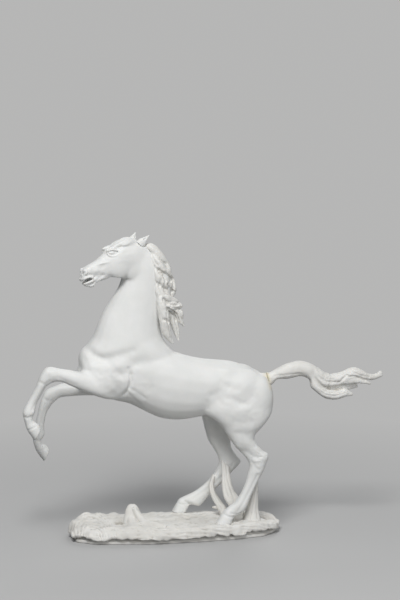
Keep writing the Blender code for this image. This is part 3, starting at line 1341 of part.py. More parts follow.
def mended_tail(trunk):
    """The tail was broken off at its root: the trunk's stub, the adhesive and the tail meet there."""
    break_x = at(*TAIL_ROOT)[0]
    far = TAIL_LENGTH + 60 * UNIT
    glue_start = break_x + SLIP_SEAM
    stub = behind("stub", break_x, far, under=9.5)
    slab = behind("slab", glue_start, GLUE_LINE)
    keep = behind("keep", glue_start + GLUE_LINE + SLIP_SEAM, far)
    carve(trunk, stub)
    whole = combed("whole_tail", tail_shells(), TAIL_LINES, TRIANGLES["tail"])
    tail = one_body(carve(copy_of(whole, "tail"), keep, "INTERSECT"))
    glue = one_body(carve(grown(whole, GLUE_BEAD), slab, "INTERSECT"))
    discard(stub, slab, keep, whole)
    return {"tail": tail, "tail_glue": glue}


def stand_centred(items):
    """Place the origin on the table, under the middle of the whole figure."""
    corners = np.concatenate([corners_of(item) for item in items])
    middle = (corners.min(0) + corners.max(0)) / 2
    for item in items:
        item.location = Vector((-middle[0], -middle[1], 0.0)) * MM


def build():
    clear_scene()
    glaze = glazes()
    parts = casting_sections()
    parts.update(mended_tail(parts["trunk"]))

    hair = {
        "near_ear": ear("near_ear"),
        "off_ear": ear("off_ear"),
        "mane_crest": combed("mane_crest", [mane_bed()] + crest_locks(), MANE_LINES, TRIANGLES["mane_crest"]),
    }
    for name, shell in blown_locks().items():
        hair[name] = combed(name, [shell], MANE_LINES, TRIANGLES["mane_lock"])
    hair["forelock"] = combed("forelock", forelock_shells(), [], TRIANGLES["forelock"])
    parts.update(nested(hair, [parts[name] for name in ("head", "neck", "trunk")]))
    for name in EARS:
        hollow = ear_hollow(name)
        carve(parts[name], hollow)
        discard(hollow)

    branch, stem = support_shells()
    earth = {
        "support_branch": support("support_branch", branch),
        "support_stem": support("support_stem", stem),
        "stump": stump(),
        "ground": ground(),
    }
    parts.update(nested(earth, [parts[name] for name in ("near_hind_leg", "off_hind_leg")]))
    parts["base_plate"] = base_plate()

    kinds = {name: "earth" for name in (*earth, "base_plate")}
    kinds.update({name: "hair" for name in (*hair, "tail") if name not in EARS})
    kinds["tail_glue"] = "adhesive"
    for name, item in parts.items():
        item.name = name
        finish(item, glaze[kinds.get(name, "porcelain")])
    stand_centred(parts.values())


build()
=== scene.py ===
"""Looks of the bisque porcelain horse figurine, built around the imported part.

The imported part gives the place, the size and the bodies. Each piece here is modelled again over
the same skeleton as the part, with a finer skin, combed hair, barked branches and rippled earth,
and takes the place of the nodes that it stands for. Lengths are millimetres until a mesh is made.
"""

import math

import bmesh
import bpy
import numpy as np
from mathutils import Matrix, Vector, noise


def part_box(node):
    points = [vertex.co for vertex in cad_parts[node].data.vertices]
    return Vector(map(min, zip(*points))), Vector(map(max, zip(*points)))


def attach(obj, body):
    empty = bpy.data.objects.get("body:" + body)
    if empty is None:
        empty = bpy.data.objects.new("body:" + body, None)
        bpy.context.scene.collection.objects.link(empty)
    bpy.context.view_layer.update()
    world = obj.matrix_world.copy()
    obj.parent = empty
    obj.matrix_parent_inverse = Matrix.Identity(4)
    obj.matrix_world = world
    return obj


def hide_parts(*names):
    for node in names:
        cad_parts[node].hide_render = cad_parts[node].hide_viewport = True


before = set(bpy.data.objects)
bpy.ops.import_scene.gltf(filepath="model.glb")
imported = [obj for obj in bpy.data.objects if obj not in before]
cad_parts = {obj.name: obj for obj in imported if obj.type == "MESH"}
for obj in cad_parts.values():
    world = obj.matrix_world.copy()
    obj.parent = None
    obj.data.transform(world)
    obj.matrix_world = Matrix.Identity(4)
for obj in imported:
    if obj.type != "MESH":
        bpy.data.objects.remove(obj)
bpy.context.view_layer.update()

MM = 0.001
WELD = 0.01
SLIP_SEAM = 0.3
BASE_LENGTH = 215.5
BASE_WIDTH = 79.0
BASE_PLATE = 6.0
BASE_CENTRE_X = -26.8
BASE_LEFT = BASE_CENTRE_X - BASE_LENGTH / 2
GROUND_THICKNESS = 9.3
UNDERCUT_GAP = 0.35
GROUND_FOOT = BASE_PLATE + UNDERCUT_GAP
GROUND_LEVEL = GROUND_FOOT + GROUND_THICKNESS
BANK = 1.6
PLATE_INSET = 4.0
BARREL_WIDTH = 59.0
HAUNCH_WIDTH = 60.0
CHEST_WIDTH = 55.0
NECK_WIDTH = 50.0
LEG_WIDTH = 13.0
HIND_TRACK = 42.0
FORE_TRACK = 40.0
HEAD_TURN = math.radians(16.0)
EAR_LENGTH = 10.5
EAR_WIDTH = 5.2
MANE_STRAND = 4.3
TAIL_LENGTH = 121.0
TAIL_WIDTH = 17.0
GLUE_LINE = 1.2
BRANCH_WIDTH = 8.0
STEM_WIDTH = 6.5
STUMP_X = -68
STUMP_HEIGHT = 18.0
STUMP_WIDTH = 20.0
POLL = (-60.5, 264.5)
TAIL_ROOT = (67.5, 141.5)

# Powers of the oval that the edge of the base follows, along it and across it
OVAL_LONG, OVAL_WIDE = 0.85, 0.72

# Fineness of the surfaces
SKIN_GRAIN = 0.5
FINE_GRAIN = 0.42
EARTH_GRAIN = 0.6
EAR_GRAIN = 0.25
TRIANGLES = {"horse": 200000, "mane": 50000, "free_lock": 12000, "tail": 45000,
             "branch_support": 24000, "stem_support": 12000, "stump_rock": 16000, "earth": 70000}
SPONGE_ROUNDS = int(24 * (1.25 / SKIN_GRAIN) ** 1.5)
RING = 20
STRAND_RING = 12
BALL_RING, BALL_ROWS = 16, 10
BASE_RING = 240
EARTH_RINGS = 24


# Shells

def circle(count):
    return np.linspace(0, 2 * math.pi, count, endpoint=False)


def spline(rows, steps):
    """Catmull-Rom rows between the given rows."""
    rows = np.asarray(rows, float)
    ends = np.vstack([2 * rows[0] - rows[1], rows, 2 * rows[-1] - rows[-2]])
    out = []
    for i in range(1, len(ends) - 2):
        a, b, c, d = ends[i - 1 : i + 3]
        for k in range(steps):
            t = k / steps
            out.append(0.5 * (2 * b + (c - a) * t + (2 * a - 5 * b + 4 * c - d) * t**2
                              + (3 * b - a - 3 * c + d) * t**3))
    out.append(ends[-2])
    return np.array(out)


def skin(rings):
    """Closed shell over a stack of equal rings."""
    count, around = len(rings), len(rings[0])
    points = np.concatenate(list(rings) + [rings[0].mean(0)[None], rings[-1].mean(0)[None]])
    faces = []
    for i in range(count - 1):
        for j in range(around):
            k = (j + 1) % around
            faces.append((i * around + j, i * around + k, (i + 1) * around + k, (i + 1) * around + j))
    first = count * around
    for j in range(around):
        k = (j + 1) % around
        faces.append((first, k, j))
        faces.append((first + 1, (count - 1) * around + j, (count - 1) * around + k))
    return points, faces


def loft(rows, square=2.2):
    """Body through rows of x, z at the front or top, x, z at the back or bottom, half width and y."""
    turn = circle(RING)
    along, across = (np.sign(share) * np.abs(share) ** (2 / square) for share in (np.cos(turn), np.sin(turn)))
    rings = []
    for ax, az, bx, bz, width, side in spline(rows, 3):
        middle = np.array([(ax + bx) / 2, side, (az + bz) / 2])
        half = np.array([(ax - bx) / 2, 0, (az - bz) / 2])
        rings.append(middle + along[:, None] * half + across[:, None] * np.array([0, max(width, 0.3), 0]))
    return skin(rings)


def form(stations, width, side=0.0, square=2.2):
    """Loft over the ground: each row's half width is a share of width, and its y, if any, of side."""
    rows = []
    for ax, az, bx, bz, half, *y in stations:
        rows.append((*at(ax, az), *at(bx, bz), half * width, y[0] * side if y else 0))
    return loft(rows, square)


def strand(path, radii, flat=1.0, steps=4):
    """Rounded cord along (x, y, z) points, flattened sideways by flat."""
    rows = spline([(*p, r) for p, r in zip(path, radii)], steps)
    centres = rows[:, :3]
    heading = np.gradient(centres, axis=0)
    heading /= np.linalg.norm(heading, axis=1)[:, None]
    turn = circle(STRAND_RING)
    rings = []
    for centre, ahead, radius in zip(centres, heading, rows[:, 3]):
        side = np.array([0.0, 1.0, 0.0]) - ahead * ahead[1]
        side /= np.linalg.norm(side)
        over = np.cross(ahead, side)
        radius = max(radius, 0.25)
        rings.append(centre + radius * (np.cos(turn)[:, None] * over + flat * np.sin(turn)[:, None] * side))
    return skin(rings)


def ball(centre, radii, pitch=0.0, yaw=0.0):
    """Ellipsoid, rising towards the tail by pitch and yawed in the top view, in degrees."""
    turn = Matrix.Rotation(math.radians(yaw), 3, "Z") @ Matrix.Rotation(math.radians(-pitch), 3, "Y")
    rings = []
    for i in range(BALL_ROWS):
        height = math.cos(math.pi * (i + 0.5) / BALL_ROWS)
        wide = math.sqrt(1 - height * height)
        ring = [Vector((radii[0] * wide * math.cos(t), radii[1] * wide * math.sin(t), radii[2] * height))
                for t in circle(BALL_RING)]
        rings.append(np.array([turn @ p + Vector(centre) for p in ring]))
    return skin(rings)


def backwards(faces):
    return [tuple(reversed(face)) for face in faces]


def at(x, z):
    """A place of the drawing, which is measured from the top of the earth."""
    return x, GROUND_LEVEL + z


def raised(points):
    return [(x, y, GROUND_LEVEL + z) for x, y, z in points]


def midline(places):
    return raised([(x, 0, z) for x, z in places])


def rough_noise(points, scale):
    """Uneven relief from -1 to 1 at each place."""
    return np.array([noise.noise(Vector(place) * scale) for place in points])


def mound(x, y, middle_x, middle_y, height, long, wide):
    return height * np.exp(-(((x - middle_x) / long) ** 2) - ((y - middle_y) / wide) ** 2)


def bell(points, x, z, long, high):
    """1 at a place of the side view, falling off around it."""
    return mound(points[:, 0], points[:, 2] - GROUND_LEVEL, x, z, 1.0, long, high)


# Meshes

def object_from(name, points, faces):
    mesh = bpy.data.meshes.new(name)
    mesh.from_pydata([tuple(p) for p in np.asarray(points) * MM], [], [tuple(map(int, f)) for f in faces])
    mesh.validate()
    made = bpy.data.objects.new(name, mesh)
    bpy.context.scene.collection.objects.link(made)
    with_bmesh(made, lambda work: bmesh.ops.recalc_face_normals(work, faces=work.faces))
    return made


def with_bmesh(item, change):
    work = bmesh.new()
    work.from_mesh(item.data)
    change(work)
    work.to_mesh(item.data)
    work.free()


def settle(item):
    """Replace an object's mesh by what its modifiers make of it."""
    bpy.context.view_layer.update()
    graph = bpy.context.evaluated_depsgraph_get()
    mesh = bpy.data.meshes.new_from_object(item.evaluated_get(graph))
    item.modifiers.clear()
    item.data = mesh
    return item


def modified(item, kind, **settings):
    modifier = item.modifiers.new(kind.lower(), kind)
    for name, value in settings.items():
        setattr(modifier, name, value)
    return settle(item)


def facet(work):
    """Flat triangles, with no needle, pinched edge or loose thread left by a cut."""
    bmesh.ops.remove_doubles(work, verts=work.verts, dist=WELD * MM)
    bmesh.ops.dissolve_degenerate(work, edges=work.edges, dist=WELD * MM)
    bmesh.ops.triangulate(work, faces=work.faces)
    bmesh.ops.collapse(work, edges=[edge for edge in work.edges if len(edge.link_faces) > 2])
    bmesh.ops.delete(work, geom=[edge for edge in work.edges if not edge.link_faces], context="EDGES")
    bmesh.ops.delete(work, geom=[vert for vert in work.verts if not vert.link_faces], context="VERTS")


def carve(item, cutter):
    modified(item, "BOOLEAN", operation="DIFFERENCE", solver="EXACT", object=cutter)
    with_bmesh(item, facet)
    bpy.data.objects.remove(cutter)


def fused(name, shells, grain):
    """One skin over overlapping shells."""
    points, faces = [], []
    start = 0
    for shell_points, shell_faces in shells:
        points.append(shell_points)
        faces.extend(tuple(i + start for i in face) for face in shell_faces)
        start += len(shell_points)
    item = object_from(name, np.concatenate(points), faces)
    return modified(item, "REMESH", mode="VOXEL", voxel_size=grain * MM, adaptivity=0.0)


def thinned(item, triangles):
    """Fewer triangles, with the finest left where the form turns most."""
    have = sum(len(face.vertices) - 2 for face in item.data.polygons)
    return modified(item, "DECIMATE", ratio=min(1.0, triangles / have))


def kept_beyond(item, x, ahead=1):
    """Only what lies beyond a plane across the tail, closed with a flat face."""
    def cut(work):
        geometry = list(work.verts) + list(work.edges) + list(work.faces)
        bmesh.ops.bisect_plane(work, geom=geometry, dist=1e-7, plane_co=(x * MM, 0, 0),
                               plane_no=(ahead, 0, 0), clear_inner=True)
        bmesh.ops.holes_fill(work, edges=[edge for edge in work.edges if edge.is_boundary])
    with_bmesh(item, cut)
    return item


def values_of(layer, name, width, kind=float):
    values = np.empty(len(layer) * width, kind)
    layer.foreach_get(name, values)
    return values.reshape(-1, width)


def corners_of(item):
    return values_of(item.data.vertices, "co", 3) / MM


def normals_of(item):
    return values_of(item.data.vertex_normals, "vector", 3)


def put_corners(item, points):
    item.data.vertices.foreach_set("co", (points * MM).ravel())
    item.data.update()


def swell(item, relief):
    """Move the surface out by a relief, one for all or one for each corner."""
    put_corners(item, corners_of(item) + normals_of(item) * np.asarray(relief)[..., None])


def softened(item, rounds, weight):
    """Each corner pulled to the mean of its neighbours, by weight, so many times."""
    points = corners_of(item)
    ends = values_of(item.data.edges, "vertices", 2, int)
    count = len(points)
    degree = np.bincount(ends.ravel(), minlength=count)
    for _ in range(rounds):
        for axis in range(3):
            place = points[:, axis]
            total = np.bincount(ends[:, 0], place[ends[:, 1]], count)
            total += np.bincount(ends[:, 1], place[ends[:, 0]], count)
            points[:, axis] = place + (total / degree - place) * weight
    return points


def smooth(item, rounds, weight):
    put_corners(item, softened(item, rounds, weight))


def hollows_of(item, rounds):
    """How far each corner lies under the mean of its surroundings."""
    return ((softened(item, rounds, 0.5) - corners_of(item)) * normals_of(item)).sum(1)


def keep(item, name, amount):
    layer = item.data.attributes.new(name, "FLOAT", "POINT")
    layer.data.foreach_set("value", amount.astype(np.float32))


# Lines modelled in the surfaces

def beside(points, path, width):
    """1 on an open line, falling off softly to both sides."""
    best = np.full(len(points), 1e9)
    path = np.asarray(path, float)
    for a, b in zip(path[:-1], path[1:]):
        along = np.clip(((points - a) @ (b - a)) / ((b - a) @ (b - a)), 0, 1)
        best = np.minimum(best, np.linalg.norm(points - a - along[:, None] * (b - a), axis=1))
    return np.exp(-((best / width) ** 2))


def stroke(item, path, width, height):
    """Model a rounded ridge, or with a negative height a furrow, along a line."""
    swell(item, height * beside(corners_of(item), path, width))


def engrave(item, lines, view):
    """Model lines seen square from the side, on both faces.

    The view gives each corner's place in the side view, how far out it lies and how far it faces.
    """
    points = corners_of(item)
    flat, out, facing = view(points, normals_of(item))
    shown = np.zeros(len(points))
    for side in (-1, 1):
        shown = np.maximum(shown, np.clip(1.7 * side * facing, 0, 1) * (side * out > 0))
    push = np.zeros(len(points))
    for width, height, line in lines:
        push += height * beside(flat, line, width)
    swell(item, push * shown)


def creases(*rows, share=1.0):
    """Lines from rows of a width, a height, and the x and z of each point."""
    return [(width, height * share, list(zip(line[::2], line[1::2]))) for width, height, *line in rows]


def softer(lines, share):
    return [(width, height * share, line) for width, height, line in lines]


def side_view(points, normals):
    return np.column_stack([points[:, 0], points[:, 2] - GROUND_LEVEL]), points[:, 1], normals[:, 1]


def either_side(points, normals):
    """The side view of a form that stands on one side of the middle, modelled on both faces."""
    flat, _, facing = side_view(points, normals)
    return flat, np.sign(facing), facing


def half_of(side):
    """The side view of one leg alone, modelled on both its faces."""
    def view(points, normals):
        flat, out, facing = side_view(points, normals)
        return flat, np.where(side * out > 0, np.sign(facing), 0.0), facing
    return view


# The body

BARREL = [
    (-121, 173, -121.7, 157, 0.16), (-117.7, 172, -118, 146, 0.33), (-104, 176, -104, 134.5, 0.43),
    (-89, 177, -90, 126.5, 0.46), (-73, 181, -73, 122, 0.48), (-56, 179.5, -56, 113, 0.485),
    (-41, 177, -41, 106, 0.495), (-23.5, 172, -23.5, 103.5, 0.5), (-5, 165.5, -5, 105.5, 0.485),
    (12, 162.5, 12, 108, 0.465), (28.5, 160.5, 28.5, 110, 0.46), (44, 156, 44, 112, 0.42),
    (57, 149.6, 57, 112, 0.34), (67.3, 144, 67.3, 114, 0.22), (70.2, 135, 70.2, 121, 0.1),
]
DOCK = [(54, 149, 60, 131, 0.13), (61, 148.5, 66, 134, 0.1), (70, 148, 74, 135.5, 0.095)]
NECK = [
    (-118.7, 156, -19, 156, 0.45), (-118.2, 176, -25, 171, 0.51), (-108.8, 190, -36, 184, 0.465),
    (-103.8, 202, -40, 196.5, 0.405), (-98.5, 214, -39.5, 210.5, 0.355), (-92, 225, -39, 225.5, 0.31),
    (-83.3, 238, -38.5, 242, 0.27), (-79, 250, -39.5, 257, 0.235), (-77.5, 262, -44.5, 269, 0.205),
    (-73, 272, -52, 278, 0.17),
]

# Near muscles: x, y from the skin at the given width, z, then radii, pitch and yaw
SHOULDER_MUSCLES = [
    (-86, 12, 160, 30, 12, 14, 38), (-100, 11, 147, 19, 11.5, 14, -32), (-109.5, 15, 158, 12, 11, 15, 0, 25),
    (-66, 13, 148, 22, 12, 19, 15),
]
HAUNCH_MUSCLES = [
    (33, 15, 130, 32, 15, 22.5, 38), (56.6, 14, 125, 15.8, 13, 25, 0), (14, 14, 122, 17, 12, 12, 50),
    (28, 18, 152.5, 17, 11, 6, -14),
]
RIB_MUSCLES = [(-20, 15, 128, 34, 12, 20, 4)]


def trunk_shells():
    near = []
    for muscles, width in ((SHOULDER_MUSCLES, CHEST_WIDTH), (HAUNCH_MUSCLES, HAUNCH_WIDTH),
                           (RIB_MUSCLES, CHEST_WIDTH)):
        for x, y, z, long, thick, deep, *turns in muscles:
            near.append(ball((x, y - width / 2, GROUND_LEVEL + z), (long, thick, deep), *turns))
    far = [(points * (1, -1, 1), backwards(faces)) for points, faces in near]
    middle = [form(BARREL, BARREL_WIDTH, square=2.3), form(DOCK, BARREL_WIDTH)]
    return middle + near + far + [form(NECK, NECK_WIDTH, square=2.1)]


SHOULDER_LINES = creases(
    (3.6, -1.2, -116.5, 179.5, -101.5, 171.5, -86.5, 175, -71, 179),
    (2.9, -0.5, -109.5, 173.5, -102.5, 171.5, -95.5, 172), (5.5, -0.6, -70.5, 179, -62.5, 186, -52.5, 188.5),
    (4.9, 0.5, -112.5, 182.5, -100.5, 177.5, -90.5, 180, -80.5, 183.5),
    (3.6, -1, -88, 158.5, -83, 156, -77, 158.5), (2.9, -0.6, -83.5, 155.5, -82, 151.5),
    (2.2, -1.6, -76, 161.5, -74, 155.5, -74, 149.5, -76, 142.5, -81, 134), (3.6, -0.8, -72, 163, -69.5, 165),
    (5.5, -0.7, -72, 154.5, -65, 151, -58, 146.5, -54, 143), (2.5, -0.6, -118.5, 170, -117, 166, -116, 161.5),
    (2.1, -0.8, -125, 161.5, -120, 160.5, -115, 160), (3.2, 0.6, -100, 156, -96, 150, -92.5, 143),
    (3.4, 0.7, -91, 154, -86, 152, -81.5, 149), (3.9, -0.5, -116.5, 148.5, -109, 151.5, -102, 149),
    (3.2, -0.6, -91.5, 145.5, -87, 142), (5.2, 0.5, -89, 168, -84, 165.5, -79, 161.5),
    (2.6, 0.6, -77, 139.5, -70, 133.5, -63, 126),
    share=0.65)
HAUNCH_LINES = creases(
    (3.6, -1.2, 17, 144, 23, 141), (3.9, -0.9, 26, 139.5, 32.5, 137.5), (3.6, -1, 7, 132.5, 11, 133.5, 15, 136),
    (3.4, -1, 23, 129, 30.5, 127, 36.5, 123, 44.5, 122), (2.9, -0.5, 35.5, 123.5, 42.5, 122),
    (5.5, -0.7, 42.5, 133.5, 47, 129), (2.5, -0.9, 2.5, 125, 3, 118.5), (3.1, -0.6, 14, 128, 17, 124),
    (4.8, 0.6, 7, 114, 14, 116, 21, 117.5), (4.8, 0.6, 30.5, 113.5, 38.5, 115, 44.5, 118.5),
    (3.9, 0.7, 17.5, 104.5, 24.5, 104.5), (4.7, -1, 30.5, 104.5, 39, 103.5, 47, 104.5),
    (6.1, 0.6, 7, 143, 12, 143), (6.8, -0.8, -1, 137, 1, 129), (3.4, -0.9, 33.5, 92.5, 43, 91, 52, 93),
    share=0.6)
ELBOW_CREASES = creases(
    (1.5, -1, -75, 156, -74, 149.5, -76, 142.5, -80, 135.5), (1.9, -0.4, -78.5, 138, -71.5, 132, -62, 121.5),
    (1.7, -0.4, -75.5, 141.5, -68.5, 138, -59, 131),
)
MIDDLE_CREASES = creases((5, -0.8, -117, 148, -104, 134), (5, -2.5, 74, 132, 70, 112, 58, 104))

# Each leg: its track, its side, its stations and the lines in it
LEGS = {
    "near_hind_leg": (HIND_TRACK, -1, [
        (10, 148, 60, 142, 0.85, 0.55), (-1, 131, 71, 125.5, 1.1, 0.7), (1, 114.5, 70.5, 110, 1.1, 0.8),
        (16, 101, 62, 98.5, 0.95, 0.86), (25, 88, 52.5, 87.5, 0.72, 0.9), (33, 76.5, 54.8, 79, 0.58, 0.93),
        (39, 70.5, 61, 72, 0.5, 0.95), (44.3, 64, 66.7, 67.5, 0.53, 0.95), (46.5, 57.5, 62.5, 54.5, 0.48, 0.97),
        (45.5, 49.5, 58, 46, 0.39, 1), (42.5, 40, 53.2, 36.5, 0.35, 1.02), (38, 30, 48.5, 27, 0.36, 1.05),
        (32, 21.5, 42.8, 13.5, 0.47, 1.07), (26.5, 17.5, 35.5, 8, 0.4, 1.1), (20.5, 12.5, 30.5, 6, 0.48, 1.12),
        (11.5, -0.2, 27.5, -0.6, 0.6, 1.14),
    ], creases(
        (3, -1.6, 38.9, 74.1, 46.1, 70.2, 53.3, 66.9), (4, 0.9, 39.7, 83.5, 46.9, 80.2, 55.1, 74.7),
        (1.7, -0.9, 48.4, 62.2, 51.5, 56.9, 55.6, 53.7), (1.6, 0.8, 50.4, 63.7, 59.6, 63.8),
        (1.5, -1.1, 54.4, 48.8, 46.2, 32.6, 40.1, 22.6, 34, 12.5), (1.2, -0.8, 27, 11, 33, 9, 37.5, 9.5),
        (1.2, -0.9, 19.6, 10.2, 24.8, 7.4, 30.5, 7),
    )),
    "off_hind_leg": (HIND_TRACK, 1, [
        (10, 148, 60, 142, 0.85, 0.55), (-1, 132, 70, 125.5, 1.05, 0.7), (0, 116, 64, 112, 1.08, 0.8),
        (5.3, 100, 48, 98.5, 0.92, 0.86), (8.8, 86.5, 36.5, 84.5, 0.7, 0.9), (12.3, 76, 35, 74.5, 0.58, 0.95),
        (18, 67, 37.5, 65, 0.5, 0.98), (22.5, 58.5, 43, 57, 0.5, 1), (23.3, 52.5, 46, 52, 0.5, 1),
        (22.2, 48.3, 37, 42, 0.45, 1.02), (18.2, 40.5, 28.5, 33, 0.37, 1.05), (9.5, 31, 18.5, 22.5, 0.35, 1.07),
        (-1, 23, 9, 12.5, 0.37, 1.1), (-10.5, 18.5, 3.5, 7.2, 0.47, 1.12), (-16.3, 15.8, -4.5, 8.8, 0.4, 1.14),
        (-19, 13, -7, 8, 0.48, 1.14), (-25, 2, -10.5, 1.6, 0.6, 1.14),
    ], creases(
        (1.6, -1, 38, 53, 30, 42, 17, 30.5, 6, 22.5, -4, 16), (2.4, -1.1, 12.5, 84, 17.6, 79.7),
        (2.2, -0.9, 24.9, 78.3, 26, 60.6), (1.3, -0.8, -12, 13.5, -8, 11, -5.5, 10.5),
        (1.2, -0.9, -20.5, 11.5, -14.5, 10.4, -9, 10),
    )),
    "near_foreleg": (FORE_TRACK, -1, [
        (-94, 158, -84, 129, 0.62, 0.7), (-110.5, 156.5, -96, 129.5, 0.78, 0.85),
        (-121.5, 158.5, -114, 136, 0.72, 0.95), (-133.5, 161, -128, 142.5, 0.62, 1),
        (-144.5, 163, -141, 149, 0.5, 1.02), (-152.5, 165, -148, 150, 0.51, 1.05),
        (-158.5, 163.7, -154, 148, 0.53, 1.05), (-164, 156, -158, 145, 0.47, 1.05),
        (-167.5, 146.5, -160.5, 140.5, 0.39, 1.05), (-172.5, 137, -164, 134, 0.35, 1.03),
        (-177, 129, -167.5, 127, 0.37, 1), (-181, 120.5, -169, 119.5, 0.47, 1),
        (-180, 113.5, -171.5, 114, 0.39, 1), (-178.5, 107.5, -169.5, 110.5, 0.38, 1),
        (-176.8, 102, -165.5, 107.5, 0.47, 1), (-170, 91.5, -163, 102.5, 0.5, 1),
    ], creases(
        (1.5, -1.3, -179.4, 115.8, -176.9, 115.2, -172.9, 116.4),
        (1.1, -0.9, -176.9, 102.4, -174, 103.8, -169, 106.4),
        (1.5, -0.9, -158.7, 147, -165.8, 134.2, -171.9, 123.4),
        (1.6, -0.9, -164.6, 150.8, -159.7, 148.6, -154.7, 151.9), (2.4, 0.7, -156, 160.5, -151, 157),
        (1.8, -0.7, -146, 155, -138, 151, -129, 147.5),
    )),
    "off_foreleg": (FORE_TRACK, 1, [
        (-92, 156, -84, 128, 0.62, 0.7), (-104, 151.5, -99, 127, 0.75, 0.85),
        (-117, 143.5, -117.5, 127.5, 0.65, 0.9), (-127, 141, -129.5, 127, 0.56, 0.95),
        (-137.5, 140, -139.5, 126, 0.5, 0.95), (-145, 137.5, -144.5, 122.5, 0.5, 0.95),
        (-151.5, 135, -148, 119, 0.52, 0.95), (-156, 130.5, -150, 116, 0.46, 0.93),
        (-160, 120, -152.5, 112.5, 0.39, 0.9), (-162.5, 109.5, -154, 108, 0.35, 0.88),
        (-165.5, 98.5, -156, 98, 0.37, 0.86), (-168, 89.5, -155.5, 89.5, 0.47, 0.85),
        (-167, 82, -159, 83.5, 0.39, 0.85), (-165.5, 76, -158, 79.5, 0.38, 0.85),
        (-163, 70.5, -154, 78, 0.47, 0.85), (-156.5, 61.5, -151, 74, 0.5, 0.85),
    ], creases(
        (1.6, -1, -153.8, 124.2, -156.4, 113.1, -159, 101.9),
        (1.3, -1.1, -165.3, 84.2, -161.7, 83.3, -159.2, 84.5),
        (1.1, -0.9, -163.4, 71.3, -160.3, 73.5, -154.2, 76.5), (1.6, -0.8, -157, 127, -153, 124.5, -149, 124),
    )),
}


# The head, drawn from the poll: u ahead of it towards the tail, v up and w towards the far side

SKULL = [
    (12, 10, -8, -14, 8.5), (6, 17, -14, -15.4, 10), (-2, 20.2, -21, -15.4, 10.6), (-13, 20.6, -27, -14.4, 11),
    (-24, 18.4, -32.5, -13.6, 10.8), (-33.5, 15, -37.5, -15, 9.4), (-40.5, 9.8, -42, -16.6, 8),
    (-46.5, 5, -46.5, -15.8, 7.2), (-52, 2, -51.6, -13.6, 6.6), (-56, 0.2, -56.2, -11, 6.4),
    (-59.4, -2, -59.6, -11.2, 6.3), (-62.1, -4.6, -62.3, -13.8, 5.5), (-63.7, -7.8, -63.9, -14.2, 3.7),
]
JAW = [
    (-43, -8, -42.5, -16, 6.6), (-49, -12.4, -48, -17.8, 5.6), (-53.2, -15.8, -52.4, -21.8, 4.9),
    (-57.4, -17.4, -56.2, -21.7, 4), (-60.6, -18.8, -59.6, -20.9, 2.4),
]
# Cheek, jowl, eyeball, brow, nostril's wing and chin: place, radii and pitch
HEAD_BALLS = [
    ((-25, -7.2, -2.5), (13, 3.8, 11.5), 10), ((-8, -6, -6), (13, 4.6, 12), 20),
    ((-33.4, -6, 11.5), (4.4, 2.8, 2.7), 4), ((-32.6, -4.6, 15.4), (7, 2.5, 2.1), 12),
    ((-60, -3.8, -6.4), (3.5, 3.2, 3.8), 20), ((-53.4, -1.5, -19.8), (3.4, 3.2, 2.6), 0),
]
# Lids, crest of the cheek, lips and rim of the nostril: u, v, w and radius of each point
HEAD_CORDS = [
    [(-38.8, 12.2, -5.6, 0.5), (-36.6, 13.9, -7.1, 0.8), (-33.4, 14.6, -7.9, 0.9), (-30.2, 14.1, -8.5, 0.8),
     (-27.2, 12.6, -8.9, 0.5)],
    [(-38.6, 11.6, -6, 0.5), (-36.4, 9.3, -7.4, 0.7), (-33.2, 8.5, -8.2, 0.8), (-30, 9.4, -8.7, 0.7),
     (-27.4, 11.4, -9.1, 0.5)],
    [(-29, 3.6, -8.9, 0.6), (-35, 3, -8.3, 1), (-42, 2, -7, 1), (-49, 0.4, -5.4, 0.5)],
    [(-63.6, -13.4, -1.8, 1.5), (-62, -12.8, -4.4, 1.4), (-59.6, -11.4, -5.5, 1.3),
     (-56.2, -10.9, -5.9, 1.3), (-53.2, -12.3, -5.8, 1.2)],
    [(-63.6, -12.8, -0.8, 1.5), (-63.5, -14.6, -1.4, 1.3), (-62.9, -15.8, -1.6, 0.9)],
    [(-60.9, -19, -1, 1), (-58.8, -18.1, -3.1, 1.1), (-56.2, -17, -4.5, 1.2), (-53, -15.4, -5.3, 1.1)],
    [(-62.4, -4.6, -3.8, 0.6), (-60.9, -4.8, -5.7, 0.9), (-60.5, -6.9, -6.3, 1), (-61.6, -9, -5.4, 0.8)],
]
LOWER_LIP = [(-61.8, -18.5, -1, 1), (-59.6, -17.5, -3.2, 1.2), (-56.6, -16.3, -4.6, 1.3),
             (-53.4, -14.9, -5.2, 1.3)]
NOSTRIL = [(-64.0, -8.4, -2.4), (-63.5, -6.8, -4.2), (-62.2, -6.0, -5.4)]
